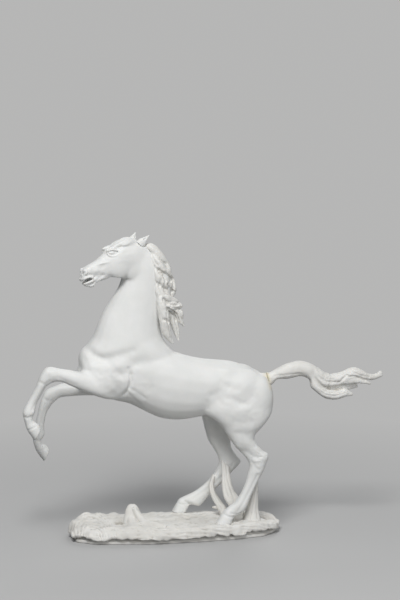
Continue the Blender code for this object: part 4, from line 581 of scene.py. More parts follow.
HEAD_LINES = creases(
    (0.6, -0.8, -38.4, 12.1, -36.4, 13, -33.3, 13.5, -30.2, 13.1, -27.8, 12.2),
    (0.6, -0.7, -38.4, 11.9, -36.2, 10.2, -33.2, 9.6, -30, 10.4, -27.8, 12),
    (0.8, -0.55, -39, 14.2, -36.4, 15.7, -33, 16.3, -29.6, 15.6, -26.6, 13.8),
    (0.7, 0.5, -38.6, 13.2, -36.4, 14.6, -33.3, 15.1, -30.2, 14.6, -27.4, 13),
    (0.7, 0.4, -36.6, 8.9, -33.2, 8.2, -29.8, 9), (0.9, -0.35, -37.4, 7.6, -33.4, 6.8, -29.4, 7.6),
    (1.2, -0.9, -40.2, 12.2, -39, 12.1), (1.2, -0.9, -27.4, 12.3, -26, 12.4), (1.2, -0.6, -39.8, 9.6, -42, 7),
    (2, -0.5, -44, -1.4, -48, -1.8, -52.5, -1.4), (2.2, -0.7, -43.8, -0.4, -45.8, -3.3, -46.1, -6.7, -43.5, -9.9),
    (2, -1, -50, -9.4, -47, -10, -43.5, -10.2), (2, 0.6, -48.4, -4.6, -51.1, -5.3),
    (1, -0.6, -58.8, -3.6, -58.9, -6.6, -60, -9.4), (1, -0.5, -61.4, -9.8, -58, -9.2, -54, -8.8),
    (1.7, -0.4, -59, -1, -51.7, 2, -45.3, 5.2), (1.4, -0.9, -56.6, -18.9, -54.4, -18.4, -51.8, -17.2),
    (2.2, -0.5, -43.9, -10.4, -37.5, -11, -30, -11.8), (2.4, -0.5, -24, 9.4, -18, 12.4, -13, 13.4),
    share=0.6)
# Each ear: root, tip and the way its opening faces
EARS = {
    "near_ear": ((-0.6, 19.6, -5.4), (6.0, 26.2, -7.6), (-1.1, 0.6, -1.5)),
    "off_ear": ((-7.0, 20.2, 5.0), (-0.3, 29.8, 8.0), (1.0, -0.2, -1.5)),
}


def head_point(u, v, w=0.0):
    x, z = at(*POLL)
    along = u * math.cos(HEAD_TURN) - w * math.sin(HEAD_TURN)
    across = u * math.sin(HEAD_TURN) + w * math.cos(HEAD_TURN)
    return np.array([x + along, across, z + v])


def turned(shell):
    """Shell modelled in the head's frame, moved into the figure."""
    points, faces = shell
    return np.array([head_point(p[0], p[2], p[1]) for p in points]), faces


def head_view(points, normals):
    """The head's side view: (u, v), w, and how far each place faces along w."""
    x, z = at(*POLL)
    along = points[:, 0] - x
    u = along * math.cos(HEAD_TURN) + points[:, 1] * math.sin(HEAD_TURN)
    w = -along * math.sin(HEAD_TURN) + points[:, 1] * math.cos(HEAD_TURN)
    facing = -normals[:, 0] * math.sin(HEAD_TURN) + normals[:, 1] * math.cos(HEAD_TURN)
    return np.column_stack([u, points[:, 2] - z]), w, facing


def head_cord(rows, side=1, flat=1.0):
    return strand([head_point(u, v, side * w) for u, v, w, _ in rows], [row[3] for row in rows], flat)


def head_mirrored(shell):
    """A shell of the head's near side, on its far side."""
    points, faces = shell
    plane = np.array([-math.sin(HEAD_TURN), math.cos(HEAD_TURN), 0.0])
    off = (points - (POLL[0], 0, 0)) @ plane
    return points - 2 * off[:, None] * plane, backwards(faces)


def head_shells():
    near = [turned(ball(*row)) for row in HEAD_BALLS] + [head_cord(rows) for rows in HEAD_CORDS]
    middle = [turned(loft([(*row, 0) for row in SKULL], 2.4)), turned(loft([(*row, 0) for row in JAW]))]
    return middle + near + [head_mirrored(shell) for shell in near]


def lips():
    """Fuller lips, the closed corners of the mouth, and the poll behind the ears."""
    shells = []
    for side in (1, -1):
        shells.append(head_cord(LOWER_LIP, side))
        shells.append(turned(ball((-50.2, side * -3.0, -13.4), (5.0, 3.2, 2.8), 35)))
    return shells + [turned(ball((5.0, 0, 15.0), (7.0, 4.2, 3.4), 20))]


def ear_strand(name, shares, radii, aside=0.0):
    """Form along an ear from root to tip, shifted towards its opening."""
    root, tip, opening = (np.array(place, float) for place in EARS[name])
    along = (tip - root) / np.linalg.norm(tip - root) * EAR_LENGTH
    shift = opening / np.linalg.norm(opening) * aside * EAR_WIDTH
    path = [head_point(*(root + along * share + shift)) for share in shares]
    return strand(path, [EAR_WIDTH * r for r in radii], 0.6)


def ear_leaf(name):
    """A pricked ear with its scooped inside."""
    outside = ear_strand(name, (-0.25, 0.1, 0.38, 0.68, 1.0), (0.9, 0.84, 0.6, 0.33, 0.08))
    leaf = fused(name + "_leaf", [outside], EAR_GRAIN)
    inside = ear_strand(name, (0.14, 0.4, 0.68, 0.9), (0.1, 0.22, 0.16, 0.06), 0.3)
    carve(leaf, fused("scoop", [inside], EAR_GRAIN))
    smooth(leaf, 3, 0.35)
    return leaf


# Hair

MANE_BED = [
    (-58, 272.5, -52.5, 280, 3.8), (-50, 264, -42.5, 272, 6.2), (-46, 253, -34, 259.5, 7.8),
    (-43.5, 241, -30, 243, 8.8), (-43, 228, -30, 228, 8.8), (-42.5, 214, -32, 213, 7), (-42, 204, -36, 203, 4),
]
# Depth of each waved lock of the crest, and its points
CREST_ROWS = [
    (2.5, [(-57, 277.5), (-51.5, 279), (-46.5, 275.2), (-42, 270), (-37.5, 265.5), (-32, 262)]),
    (6.5, [(-51, 272), (-46.5, 267.5), (-42.5, 262), (-38.5, 256), (-33.5, 252.5), (-27.5, 248)]),
    (8.2, [(-46.5, 261), (-44, 254), (-41.5, 247.5), (-37.5, 243.5), (-33, 240.5), (-25.5, 235)]),
    (9.0, [(-45, 247), (-43.5, 239), (-41, 232), (-36.5, 228), (-31, 226.5), (-22.5, 224)]),
    (8.6, [(-44.5, 236), (-42.5, 228), (-38, 222.5), (-32, 220.5), (-26, 220), (-18.5, 218.5)]),
]
CREST_TAPER = (0.5, 0.85, 1.0, 1.0, 0.75, 0.22)
CREST_BOW = (0.75, 0.95, 1.0, 0.95, 0.7, 0.35)
# Locks on the middle of the crest: x, z and thickness of each point
MIDDLE_LOCKS = [
    [(-42, 268, 0.5), (-36.3, 263.6, 0.8), (-33, 257, 0.85), (-32, 250, 0.85), (-28.5, 243, 0.8),
     (-26.5, 235, 0.6)],
    [(-37, 248, 0.5), (-31, 241, 0.8), (-27.5, 235, 0.85), (-30.5, 227.5, 0.75), (-26, 222.5, 0.7),
     (-18.2, 219, 0.3)],
]
# The three locks that blow free at the foot of the mane: how much thicker, and their points
BLOWN_LOCKS = {
    "mane_lock_upper": (1.0, [(-37, -4, 225), (-32, -4, 219.5), (-26.5, -3, 216), (-21.4, -3, 211.5),
                              (-20.6, -3, 205.5), (-16.8, -3, 198.5)]),
    "mane_lock_middle": (1.0, [(-36.5, -1, 218), (-33, -1, 213.5), (-28.8, -1, 208.5), (-26.5, -1.5, 201.5),
                               (-24.3, -1.5, 193.5), (-22, -2, 183.5)]),
    "mane_lock_lower": (1.3, [(-42.5, -10.5, 234), (-40.8, -12, 222), (-38.8, -12, 212), (-37.6, -12, 202),
                              (-35, -11, 192), (-29, -10, 182.5)]),
}
BLOWN_TAPER = (0.6, 0.85, 0.95, 0.9, 0.72, 0.2)
MANE_LINES = creases(
    (1.5, -0.8, -52.5, 275.5, -49.5, 270.5, -48, 265.5, -44.5, 262),
    (1.8, -1.8, -43.5, 257, -41, 254, -37, 253.5, -33, 249.5, -30, 245.5),
    (1.4, -0.9, -37.5, 251.5, -36.5, 246.5, -38, 240.5), (1.4, -1.5, -33.5, 242.5, -31.5, 238, -28.5, 235),
    (1.4, -1.2, -41.5, 247, -43.5, 240, -42, 232.5), (1.6, -1.8, -38.5, 228, -34.5, 224, -30.5, 222.5, -24.5, 221),
    (1.4, -1.3, -31, 220, -27, 218, -19.5, 216.5), (1.6, -1.9, -34.5, 218, -30, 214.5, -26.5, 211.5, -24, 205.5),
    (1.4, -1.3, -39, 208, -36.5, 207.5, -33.5, 205.5), (1.2, -0.8, -41.5, 268, -37.5, 264, -34.5, 258),
    (1.3, -1.1, -29, 248.5, -27, 243.5, -28, 237.5), (1.1, -0.8, -22, 215, -19, 208, -16, 202),
    (1.1, -0.8, -26.5, 206, -23.5, 196, -21.5, 187), (1.2, -0.9, -36.5, 214, -34, 203.5, -31.5, 193, -29, 186),
    share=1.25)
# Locks that fall forward from the poll over the forehead: u, v, w and thickness of each point
FORELOCK = [
    [(-3, 21.2, 0, 0.45), (-11, 22.6, -0.5, 0.66), (-18, 22, -1, 0.76), (-25, 19.5, -1.5, 0.6),
     (-30.6, 16.3, -1.6, 0.4), (-36, 13.2, -1.8, 0.22)],
    [(-5, 21, -2.5, 0.4), (-11, 21.8, -3.8, 0.56), (-18, 20.9, -4.8, 0.62), (-24, 19.2, -5, 0.5),
     (-29, 17.4, -4.6, 0.36), (-33, 15.8, -4, 0.2)],
    [(-8, 20.6, -4.5, 0.32), (-13, 20.4, -6, 0.42), (-18, 19.2, -7, 0.4), (-22.5, 18, -7.2, 0.16)],
    [(-5, 20.6, 3, 0.4), (-12, 21.4, 4.2, 0.58), (-19, 20.4, 5, 0.62), (-26, 18.4, 5, 0.46),
     (-32, 15.6, 4.2, 0.2)],
]
# The tail's dock, its upper and lower parts, its middle and the flick between them
TAIL_FORMS = [
    [
        (60, 147.5, 64, 134.5, 0.33), (68.5, 147.5, 73, 134.8, 0.33), (77, 151, 79, 141, 0.33),
        (87, 156, 89.5, 141, 0.39), (98.5, 159, 99.5, 143, 0.44), (110, 158, 107.5, 142.5, 0.47),
        (120.5, 152.5, 113.5, 137.5, 0.5), (128, 147, 119, 129, 0.5), (134, 144, 129, 128, 0.42),
    ], [
        (120, 152, 117, 138, 0.4, 0.05), (132, 145, 130, 130, 0.42, 0.05), (137, 144.5, 138, 131, 0.4, 0.05),
        (146.5, 147, 148.5, 134, 0.38), (157, 151, 158, 138.5, 0.36, -0.05), (166, 148.5, 166, 138.5, 0.3, -0.05),
        (173.5, 144, 173, 137, 0.24), (180, 143, 180, 137, 0.17, 0.05), (185.5, 144, 186, 138.6, 0.15, 0.1),
        (189.3, 142.8, 189.2, 139.6, 0.08, 0.1),
    ], [
        (114, 146, 113, 132, 0.34, -0.1), (121, 138, 118.5, 127, 0.36, -0.15), (130, 131, 128.5, 120, 0.35, -0.15),
        (140.5, 128.5, 140.5, 118.2, 0.3, -0.1), (149.5, 128.8, 150.5, 120.5, 0.22),
        (158, 124, 158.4, 121, 0.08, 0.05),
    ], [
        (124, 142, 122, 128, 0.34, 0.15), (134, 138, 133, 125.5, 0.34, 0.2), (143, 137, 143, 126, 0.28, 0.2),
        (153.5, 136, 154, 127, 0.2, 0.15), (163, 133, 163.5, 129.5, 0.08, 0.1),
    ], [
        (146, 143, 146, 133, 0.25, -0.1), (157, 142, 157, 134, 0.2, -0.15), (167.5, 139, 168, 134, 0.14, -0.15),
        (176, 134.8, 176.3, 132.2, 0.06, -0.15),
    ],
]
TAIL_LINES = creases(
    (2, -2.2, 114.5, 146.5, 118.5, 139, 122, 134, 128, 129.5, 135.5, 128, 145.5, 128),
    (1.7, -1.6, 115.5, 150.5, 119.5, 144.5, 124, 141, 130, 138, 136.5, 137, 141.5, 136),
    (1.3, -1, 120, 150.5, 124, 145.5, 129.5, 141.5, 136.5, 140),
    (1.2, -0.8, 117.5, 141.5, 123, 135, 130, 131.5, 139.5, 131.5, 148, 134),
    (1.2, -0.8, 114.5, 137.5, 120, 130, 127, 125, 137.5, 123, 149, 125),
    (1.4, -1.5, 143, 136.5, 147, 141, 150, 144),
    (1.2, -0.7, 147, 146, 153.5, 148, 159.5, 145.5, 166, 142.5, 174, 141),
    (1.2, -0.9, 151.5, 142, 157.5, 142.5, 164, 140.5, 169, 137),
    (1.3, -0.6, 76.5, 145.5, 84, 146, 93, 146.8, 102, 147),
    share=0.95)


def lock(points, radii):
    return strand(raised(points), [r * MANE_STRAND for r in radii], 0.9)


def crest_locks():
    """Waved locks, laid over one another down both sides of the crest."""
    locks = []
    for depth, row in CREST_ROWS:
        for side in (-1, 1):
            shift = 0.0 if side < 0 else -2.2
            path = [(x, side * depth * out, z + shift) for (x, z), out in zip(row, CREST_BOW)]
            locks.append(lock(path, [r * 1.15 for r in CREST_TAPER]))
    for row in MIDDLE_LOCKS:
        locks.append(lock([(x, 0, z) for x, z, _ in row], [r for _, _, r in row]))
    return locks


def combings(shell, count, drift=0.0, depth=0.86, share=0.55):
    """Broad strands laid over a lock's own surface, from its root to its tip."""
    points, faces = shell
    around = faces[0][3]
    rings = points[:-2].reshape(-1, around, 3)
    strands = []
    for k in range(count):
        path, radii = [], []
        for i in range(0, len(rings), 2):
            ring = rings[i]
            place = (k / count + drift * i / len(rings) + 0.012 * math.sin(2.1 * k + 0.9 * i)) * around
            first = int(place // 1)
            part = place - first
            edge = ring[first % around] * (1 - part) + ring[(first + 1) % around] * part
            girth = np.linalg.norm(ring - np.roll(ring, 1, 0), axis=1).sum()
            radius = girth / count * share * (1 + 0.18 * math.sin(3.7 * k))
            out = edge - ring.mean(0)
            out /= max(np.linalg.norm(out), 1e-6)
            sunk = 0.25 * max(0, 1 - 5 * i / len(rings))
            path.append(edge - out * radius * (depth + sunk))
            radii.append(radius * (1 - sunk))
        strands.append(strand(path, radii, 1.0, 2))
    return strands


def hair_piece(name, shells, lines, triangles, combs, rounds=9):
    """A mass of hair: its locks, the strands combed over them, and the partings between."""
    finer = list(shells)
    for shell, count, drift in combs:
        finer += combings(shell, count, drift)
    hair = fused(name, finer, FINE_GRAIN)
    smooth(hair, rounds, 0.4)
    engrave(hair, lines, side_view)
    smooth(hair, 2, 0.25)
    points = corners_of(hair)
    swell(hair, 0.3 * rough_noise(points, 0.2) + 0.2 * rough_noise(points, 0.45))
    return thinned(hair, triangles)


def mane():
    locks = crest_locks()
    return hair_piece("mane_hair", [form(MANE_BED, 1.0)] + locks, MANE_LINES, TRIANGLES["mane"],
                      [(shell, 4, 0.25) for shell in locks])


def free_lock(name):
    thicker, points = BLOWN_LOCKS[name]
    shell = lock(points, [r * thicker for r in BLOWN_TAPER])
    return hair_piece(name + "_hair", [shell], MANE_LINES, TRIANGLES["free_lock"],
                      [(shell, 5, 0.3)])


def tail():
    shells = [form(rows, TAIL_WIDTH, TAIL_WIDTH, 2.1) for rows in TAIL_FORMS]
    ends = np.concatenate([points for points, _ in shells])
    tip = ends[ends[:, 0].argmax()]
    shells.append(ball(tip - (2.6, 0, -0.3), (2.9, 2.2, 2.9)))
    hair = hair_piece("tail_hair", shells, TAIL_LINES, TRIANGLES["tail"], [], 18)
    root = TAIL_ROOT[0]
    smooth(hair, 30, 0.5 * np.exp(-((corners_of(hair)[:, 0] - root - 0.38 * TAIL_LENGTH) / 9) ** 4))
    return kept_beyond(hair, root + SLIP_SEAM + GLUE_LINE * 0.8)


def adhesive():
    """Old adhesive that squeezed out round the break in the tail."""
    band = fused("tail_adhesive", [form(TAIL_FORMS[0], TAIL_WIDTH, TAIL_WIDTH, 2.1)], FINE_GRAIN)
    swell(band, 0.55)
    start, height = at(*TAIL_ROOT)
    kept_beyond(band, start - 0.3)
    kept_beyond(band, start + GLUE_LINE + SLIP_SEAM * 2 + 0.5, -1)
    points = corners_of(band)
    split = start + 1.1 + 0.12 * (height - points[:, 2]) + 0.4 * rough_noise(points, 0.4)
    keep(band, "split", np.exp(-((points[:, 0] - split) / 0.6) ** 2))
    return band


# The whole horse

BACK_LINE = [(-20, 160), (0, 155.5), (15, 153.8), (30, 151.9), (42, 147.4), (52, 141)]
BREAST_BALLS = [((-115.5, 150), (10.3, 18, 14.5)), ((-112, 167), (11, 16, 15))]
# Where the modeller's hand shows: x, z and reach of shoulder, haunch, hocks and elbow
WORKED_PLACES = [(-98, 155, 20, 24), (40, 120, 24, 20), (45, 70, 22, 30), (-62, 140, 14, 14)]
LEG_SHARE = 0.55
CORONET_HEIGHT = 20


def horse():
    """The whole figure in one skin, without the seams of its casting sections."""
    shells = trunk_shells() + head_shells()
    shells += [form(rows, LEG_WIDTH, side * track / 2, 2.3) for track, side, rows, _ in LEGS.values()]
    shells += [form(MANE_BED, 1.0)] + lips()
    shells += [ball((x, 0, GROUND_LEVEL + z), radii) for (x, z), radii in BREAST_BALLS]
    shells.append(strand(midline(BACK_LINE), [10] * len(BACK_LINE)))
    for row in FORELOCK:
        path = [head_point(u, v, w) for u, v, w, _ in row]
        shell = strand(path, [r * MANE_STRAND for _, _, _, r in row], 0.95)
        shells += [shell] + combings(shell, 4, 0.2)
    figure = fused("horse_figure", shells, SKIN_GRAIN)
    smooth(figure, SPONGE_ROUNDS, skin_weight(figure))
    for width, height, places in MIDDLE_CREASES:
        stroke(figure, midline(places), width, height)
    engrave(figure, SHOULDER_LINES + ELBOW_CREASES + HAUNCH_LINES, side_view)
    for _, side, _, lines in LEGS.values():
        coronets = [line for line in lines if max(z for _, z in line[2]) < CORONET_HEIGHT]
        others = [line for line in lines if line not in coronets]
        engrave(figure, coronets + softer(others, LEG_SHARE), half_of(side))
    engrave(figure, HEAD_LINES, head_view)
    for side in (1, -1):
        stroke(figure, [head_point(u, v, side * w) for u, v, w in NOSTRIL], 0.9, -1.4)
    smooth(figure, 3, 0.3)
    worked_by_hand(figure)
    return thinned(figure, TRIANGLES["horse"])


def skin_weight(figure):
    """How much each place is rounded over: the body well, the feet less, the face hardly at all."""
    points = corners_of(figure)
    x = points[:, 0]
    z = points[:, 2] - GROUND_LEVEL
    along = head_view(points, normals_of(figure))[0][:, 0]
    trunk = np.clip((z - 92) / 14, 0, 1) * np.clip((x + 124) / 8, 0, 1)
    head = np.clip((z - 236) / 20, 0, 1) * np.clip((-x - 60) / 14, 0, 1)
    sponged = 0.08 + 0.5 * trunk * (1 - head) * (1 - 0.6 * np.clip((z - 190) / 20, 0, 1))
    high = np.clip((z - 222) / 12, 0, 1)
    face = np.clip((-14 - along) / 12, 0, 1) * high
    throat = 0.35 * np.exp(-((along + 4) / 12) ** 2) * high
    breast = 0.6 * bell(points, -123, 148, 9, 16)
    croup = 0.9 * bell(points, 46, 158, 16, 9)
    body = np.clip(sponged + throat + breast + croup, 0, 0.95)
    return body * (1 - face) + face * 2.6 / SPONGE_ROUNDS


def worked_by_hand(figure):
    """Small uneven swellings on the shoulder, the haunch and the hocks, and pits on the near hock."""
    points = corners_of(figure)
    shown = sum(bell(points, *row) for row in WORKED_PLACES)
    near = shown > 0.05
    relief = np.zeros(len(points))
    relief[near] = 0.45 * rough_noise(points[near], 0.1) + 0.26 * rough_noise(points[near], 0.23)
    relief *= np.clip(shown, 0, 1)
    hock = bell(points, 58, 72, 13, 15)
    pitted = hock > 0.1
    relief[pitted] -= 0.7 * hock[pitted] * np.clip(rough_noise(points[pitted], 0.5), 0, 1)
    swell(figure, relief)


# The base

# Levels of the foot: z and how far in from its edge
PLATE_LEVELS = ((0.0, 0.9), (0.3, 0.2), (0.9, 0.0), (2.9, 0.2), (3.5, 0.9), (4.0, 2.2), (BASE_PLATE, 3.0))
# Hollows of the earth: x, y, depth and reach
HOLLOWS = [(-83, -2, 2.4, 5, 7), (-50, -5.5, 2.2, 6, 6), (38, -6.6, 2.8, 6, 5), (66.5, 1, 3.0, 7, 7)]


def outline(turn, inset=0.0):
    """Edge of the irregular oval base: fuller at the forehooves' end, drawn in towards the tail."""
    along, across = np.cos(turn), np.sin(turn)
    x = (BASE_LENGTH / 2 - inset) * np.sign(along) * np.abs(along) ** OVAL_LONG
    taper = 1 - 0.09 * np.clip(along, 0, 1) ** 2
    y = (BASE_WIDTH / 2 - inset) * np.sign(across) * np.abs(across) ** OVAL_WIDE * taper
    ragged = 1 + 0.012 * np.sin(7 * turn + 0.6) + 0.009 * np.sin(11 * turn + 2.0) + 0.006 * np.sin(17 * turn)
    return np.stack([BASE_CENTRE_X + x * ragged, y * ragged], -1)


def ground_height(x, y):
    """Height of the modelled earth above its level at the near hind hoof."""
    right = BASE_CENTRE_X + BASE_LENGTH / 2
    wide = BASE_WIDTH / 2
    mounds = [
        (-17, HIND_TRACK / 2 + 3, 1.2, 26, 12), (BASE_LEFT + 20, 0.66 * wide, 6.2, 9, 9),
        (BASE_LEFT + 36, 0.7 * wide, 2.4, 6, 9), (BASE_LEFT + 48.5, 0.72 * wide, 2.0, 6, 9),
        (BASE_CENTRE_X + 0.05 * BASE_LENGTH, 0.95 * wide, -1.8, 0.25 * BASE_LENGTH, 12),
        (BASE_LEFT + 20, 8, 1.4, 16, 14), (33, 0, 1.6, 16, 12), (-66, -8, 1.8, 14, 20),
        (right - 12, 0.4 * wide, 2.8, 11, 7), (right - 2, -0.2 * wide, -3.2, 16, 22),
    ]
    mounds += [(hx, hy, -depth, *reach) for hx, hy, depth, *reach in HOLLOWS]
    return sum(mound(x, y, *row) for row in mounds) + 0.45 * np.sin(x / 7.0 + 0.09 * y) * np.cos(y / 9.0)


def ground_rings():
    """Shell of the modelled earth: its torn lip, its bank, and rings of its top drawn in to the middle."""
    turn = circle(BASE_RING)
    torn = 0.9 * np.sin(9 * turn + 1.0) + 0.7 * np.sin(14 * turn) + 0.5 * np.sin(23 * turn + 2.0)
    lip = GROUND_FOOT + 0.26 * GROUND_THICKNESS + 0.8 * torn
    rim = outline(turn)
    near_bank = mound(rim[:, 0], rim[:, 1], BASE_CENTRE_X - 0.3 * BASE_LENGTH, -BASE_WIDTH / 2, 1.0,
                      0.3 * BASE_LENGTH, 0.35 * BASE_WIDTH)
    bank = BANK * (1 + 4 * near_bank)

    def ring(inset, level, relief=0.0):
        share = 1 - inset / (BASE_WIDTH / 2)
        flat = (rim - (BASE_CENTRE_X, 0)) * share[:, None] + (BASE_CENTRE_X, 0)
        return np.column_stack([flat, level + relief * ground_height(flat[:, 0], flat[:, 1])])

    even = np.zeros(BASE_RING)
    rings = [
        ring(even + PLATE_INSET + 1.0, even + GROUND_FOOT),
        ring(even + PLATE_INSET - 0.8, (GROUND_FOOT + lip) / 2 - 0.3),
        ring(even + 0.3, lip),
        ring(even, lip + 0.16 * GROUND_THICKNESS),
        ring(0.4 * bank, (lip + GROUND_LEVEL) / 2 + 0.4, 0.4),
        ring(bank, even + GROUND_LEVEL - 1.0, 0.8),
    ]
    rest = BASE_WIDTH / 2 - bank - 1.6
    for step in np.linspace(0.0, 0.9, EARTH_RINGS):
        rings.append(ring(bank + 1.6 + rest * step, even + GROUND_LEVEL, 1.0))
    return skin(rings)


def ripples(points):
    """Height of the marks of the modelling tool: arcs at the near left end, wavy streaks elsewhere."""
    x, y, z = points.T
    shown = 0.99 * (z - GROUND_LEVEL) + 0.156 * y
    wander = rough_noise(points, 0.06)
    reach = np.hypot(x - (BASE_LEFT + 22.5), shown + 11.2)
    arcs = np.cos(reach * 2 * math.pi / 2.5 + 4.0 * wander)
    near_arcs = np.clip((27 - reach) / 7, 0, 1) * np.clip((reach - 3) / 4, 0, 1)
    streaks = np.cos((shown + 0.045 * x + 0.5 * np.sin(x / 9.0) + 1.9 * wander) * 2 * math.pi / 2.4)
    patchy = np.clip(0.6 + 0.9 * rough_noise(points + 40, 0.08), 0.1, 1)
    return (0.32 * arcs * near_arcs + 0.32 * streaks * (1 - near_arcs)) * patchy


def in_hollows(points, share):
    return sum(mound(points[:, 0], points[:, 1], x, y, share, *reach) for x, y, _, *reach in HOLLOWS)


def hollow_shade_and_grime(points):
    """Painted shade, with dirt, darkening the hollows of the earth."""
    return np.clip(in_hollows(points, 1.7) * (0.8 + 0.7 * rough_noise(points, 0.3)), 0, 1)


def hung(points):
    """The torn lip of the earth hangs a little over the edge of the plate."""
    along = np.abs((points[:, 0] - BASE_CENTRE_X) / (BASE_LENGTH / 2)) ** (1 / OVAL_LONG)
    across = np.abs(points[:, 1] / (BASE_WIDTH / 2)) ** (1 / OVAL_WIDE)
    rim = np.clip((np.hypot(along, across) - 0.90) / 0.06, 0, 1)
    low = np.clip((BASE_PLATE + 7.5 - points[:, 2]) / 4, 0, 1)
    return rim * low * (3.0 + 0.8 * rough_noise(points * (1, 1, 0), 0.11))


def earth():
    """The modelled earth, with ripples, streaks, pits and a worn edge."""
    item = fused("earth", [ground_rings()], EARTH_GRAIN)
    smooth(item, 3, 0.4)
    points = corners_of(item)
    above = np.clip((points[:, 2] - GROUND_FOOT - 0.5) / 1.5, 0, 1)
    relief = ripples(points)
    for height, scale in ((1.7, 0.085), (0.6, 0.2), (0.2, 0.45)):
        relief += height * rough_noise(points, scale)
    relief -= in_hollows(points, 1.0) * (1.3 + np.clip(rough_noise(points, 0.55), 0, 1) * 1.2)
    worn = np.clip((GROUND_FOOT + 0.5 * GROUND_THICKNESS - points[:, 2]) / 2.0, 0, 1)
    relief += worn * 0.9 * rough_noise(points, 0.22)
    points = points + normals_of(item) * (relief * above)[:, None]
    points[:, 2] -= hung(points)
    put_corners(item, points)
    return thinned(item, TRIANGLES["earth"])


def base_oval():
    """The foot: a thin rim, and over it a hollow edge that lies in the shadow of the earth."""
    rings = [np.column_stack([outline(circle(BASE_RING), PLATE_INSET + inset), np.full(BASE_RING, z)])
             for z, inset in PLATE_LEVELS]
    return object_from("base_oval", *skin(rings))


# What stands on the base

# Fork, spur and stem: y is a share of the distance from the middle to a hind hoof
BRANCHES = [
    [
        (25, 56, 34, 48, 0.95, 0.8), (24.3, 42, 33, 41, 1, 0.5), (22.8, 31, 35.5, 27, 1.15, 0.1),
        (23.8, 21, 43, 17, 1.15, -0.3), (28.6, 10.5, 43.5, 7.5, 1.15, -0.45), (28, -1, 43.5, -1, 1.5, -0.45),
        (27.5, -3.5, 44, -3.5, 1.55, -0.45),
    ], [
        (16.6, 41, 19.2, 38.5, 0.8, 0.95), (11.5, 30, 17.4, 27, 0.95, 0.75), (13.7, 18.5, 22, 17, 0.95, 0.5),
        (18.6, 8.5, 28, 9, 1.05, 0.2), (22, -1, 33, 0, 1.3), (22, -3.5, 33, -3.5, 1.3),
    ], [
        (23, 13.5, 25, 8, 0.6, 0.22), (17.5, 10.7, 18.5, 6.8, 0.5, 0.3), (13.5, 9.8, 14.5, 7.8, 0.3, 0.36),
    ],
]
STEM = [
    (52, 46, 56, 41, 0.85, -0.9), (50, 30, 57, 28, 1.2, -0.75), (46, 13, 57.5, 12, 1.5, -0.64),
    (42, 2, 60, 0.5, 2.2, -0.62), (40, -3.5, 61, -5, 2.4, -0.62),
]
# The stump in halves of its width and in its height: leaf, its ridge, its foot with y in millimetres
STUMP_LEAF = [
    (-1.2, 1.3, 0.95, -2), (-1.1, 1.2, 0.75, -2), (-0.95, 0.85, 0.52, -1), (-0.85, 0.56, 0.4, -1),
    (-0.62, 0.36, 0.26, 0), (-0.35, 0.1, 0.12, 0),
]
STUMP_RIDGE = [(-0.05, -4, 0.82, 0.2), (0.3, -5, 0.48, 0.32), (0.7, -8, 0.14, 0.45), (1.1, -15, -0.12, 0.5),
               (1.5, -24, -0.28, 0.45)]
STUMP_FOOT = [(-0.3, -3, 0.2, 0.45), (-0.2, -11, -0.1, 0.55), (0, -20, -0.26, 0.45)]
# The root that spreads from the stump towards the near rim: x in halves, y, z and radius in millimetres
STUMP_ROOT = [(0.5, -7, 5.5, 2.5), (1.1, -14, 1.2, 3.3), (1.9, -21, 0.2, 3.6), (2.9, -28, -1.2, 2.6)]
BARK_LINES = creases(
    (1.1, -1, 25.8, 52.9, 25.8, 37.3, 27.9, 24.7), (1.1, -0.9, 29.6, 53.2, 29.1, 37.6, 32.7, 24, 35.5, 12),
    (1.1, -0.9, 14, 33.6, 16.1, 20.9, 22.4, 9.1), (1, -0.8, 17, 35.8, 18.5, 23.2, 24.2, 12.4),
    (1.1, -1, 52.5, 33, 51.6, 18.5, 48.5, 2.1), (1, -0.9, 55.7, 28.7, 54.7, 14.3, 55.8, 1.7),
    share=0.6)


def support_shells(rows, width):
    return form(rows, width / 2, HIND_TRACK / 2, 2.4)


def stump_shells():
    """Leaf-shaped upright rock between the forehooves' end and the middle of the base, and its roots."""
    x, z = at(STUMP_X, 0)
    half = STUMP_WIDTH / 2
    tall = STUMP_HEIGHT
    heights = [(-3, -3), (0.06 * tall, 0.04 * tall), (0.4 * tall, 0.36 * tall), (0.66 * tall, 0.66 * tall),
               (0.9 * tall, 0.88 * tall), (tall, 0.98 * tall)]
    leaf = [(x + left * half, z + up, x + right * half, z + down, half * wide, y)
            for (left, right, wide, y), (up, down) in zip(STUMP_LEAF, heights)]
    shells = [loft(leaf, 2.0)]
    for rows in (STUMP_RIDGE, STUMP_FOOT):
        shells.append(strand([(x + far * half, y, z + up * tall) for far, y, up, _ in rows],
                             [half * share for *_, share in rows]))
    shells.append(strand([(x + far * half, y, z + up) for far, y, up, _ in STUMP_ROOT],
                         [radius for *_, radius in STUMP_ROOT]))
    return shells


def bark(name, shells):
    """A branch or rock with long soft ridges."""
    branch = fused(name, shells, FINE_GRAIN)
    smooth(branch, 6, 0.4)
    engrave(branch, BARK_LINES, either_side)
    swell(branch, 0.2 * rough_noise(corners_of(branch) * (1, 1, 0.22), 0.33))
    return thinned(branch, TRIANGLES[name])


# Materials: the pale tone, the shade, and the dark tone of dirt and painted shade in the creases, of each
BODY_TONES = (0.80, 0.80, 0.785), (0.74, 0.745, 0.725), (0.50, 0.48, 0.43)
HAIR_TONES = (0.785, 0.78, 0.755), (0.71, 0.70, 0.665), (0.42, 0.39, 0.33)
SOIL_TONES = (0.75, 0.74, 0.71), (0.67, 0.655, 0.615), (0.26, 0.235, 0.19)
STAIN_TONES = (0.74, 0.68, 0.54), (0.79, 0.75, 0.65)
GLUE_TONES = (0.66, 0.60, 0.45), (0.79, 0.74, 0.61)
CRACK_TONES = (0.28, 0.24, 0.16), (0.42, 0.38, 0.27)


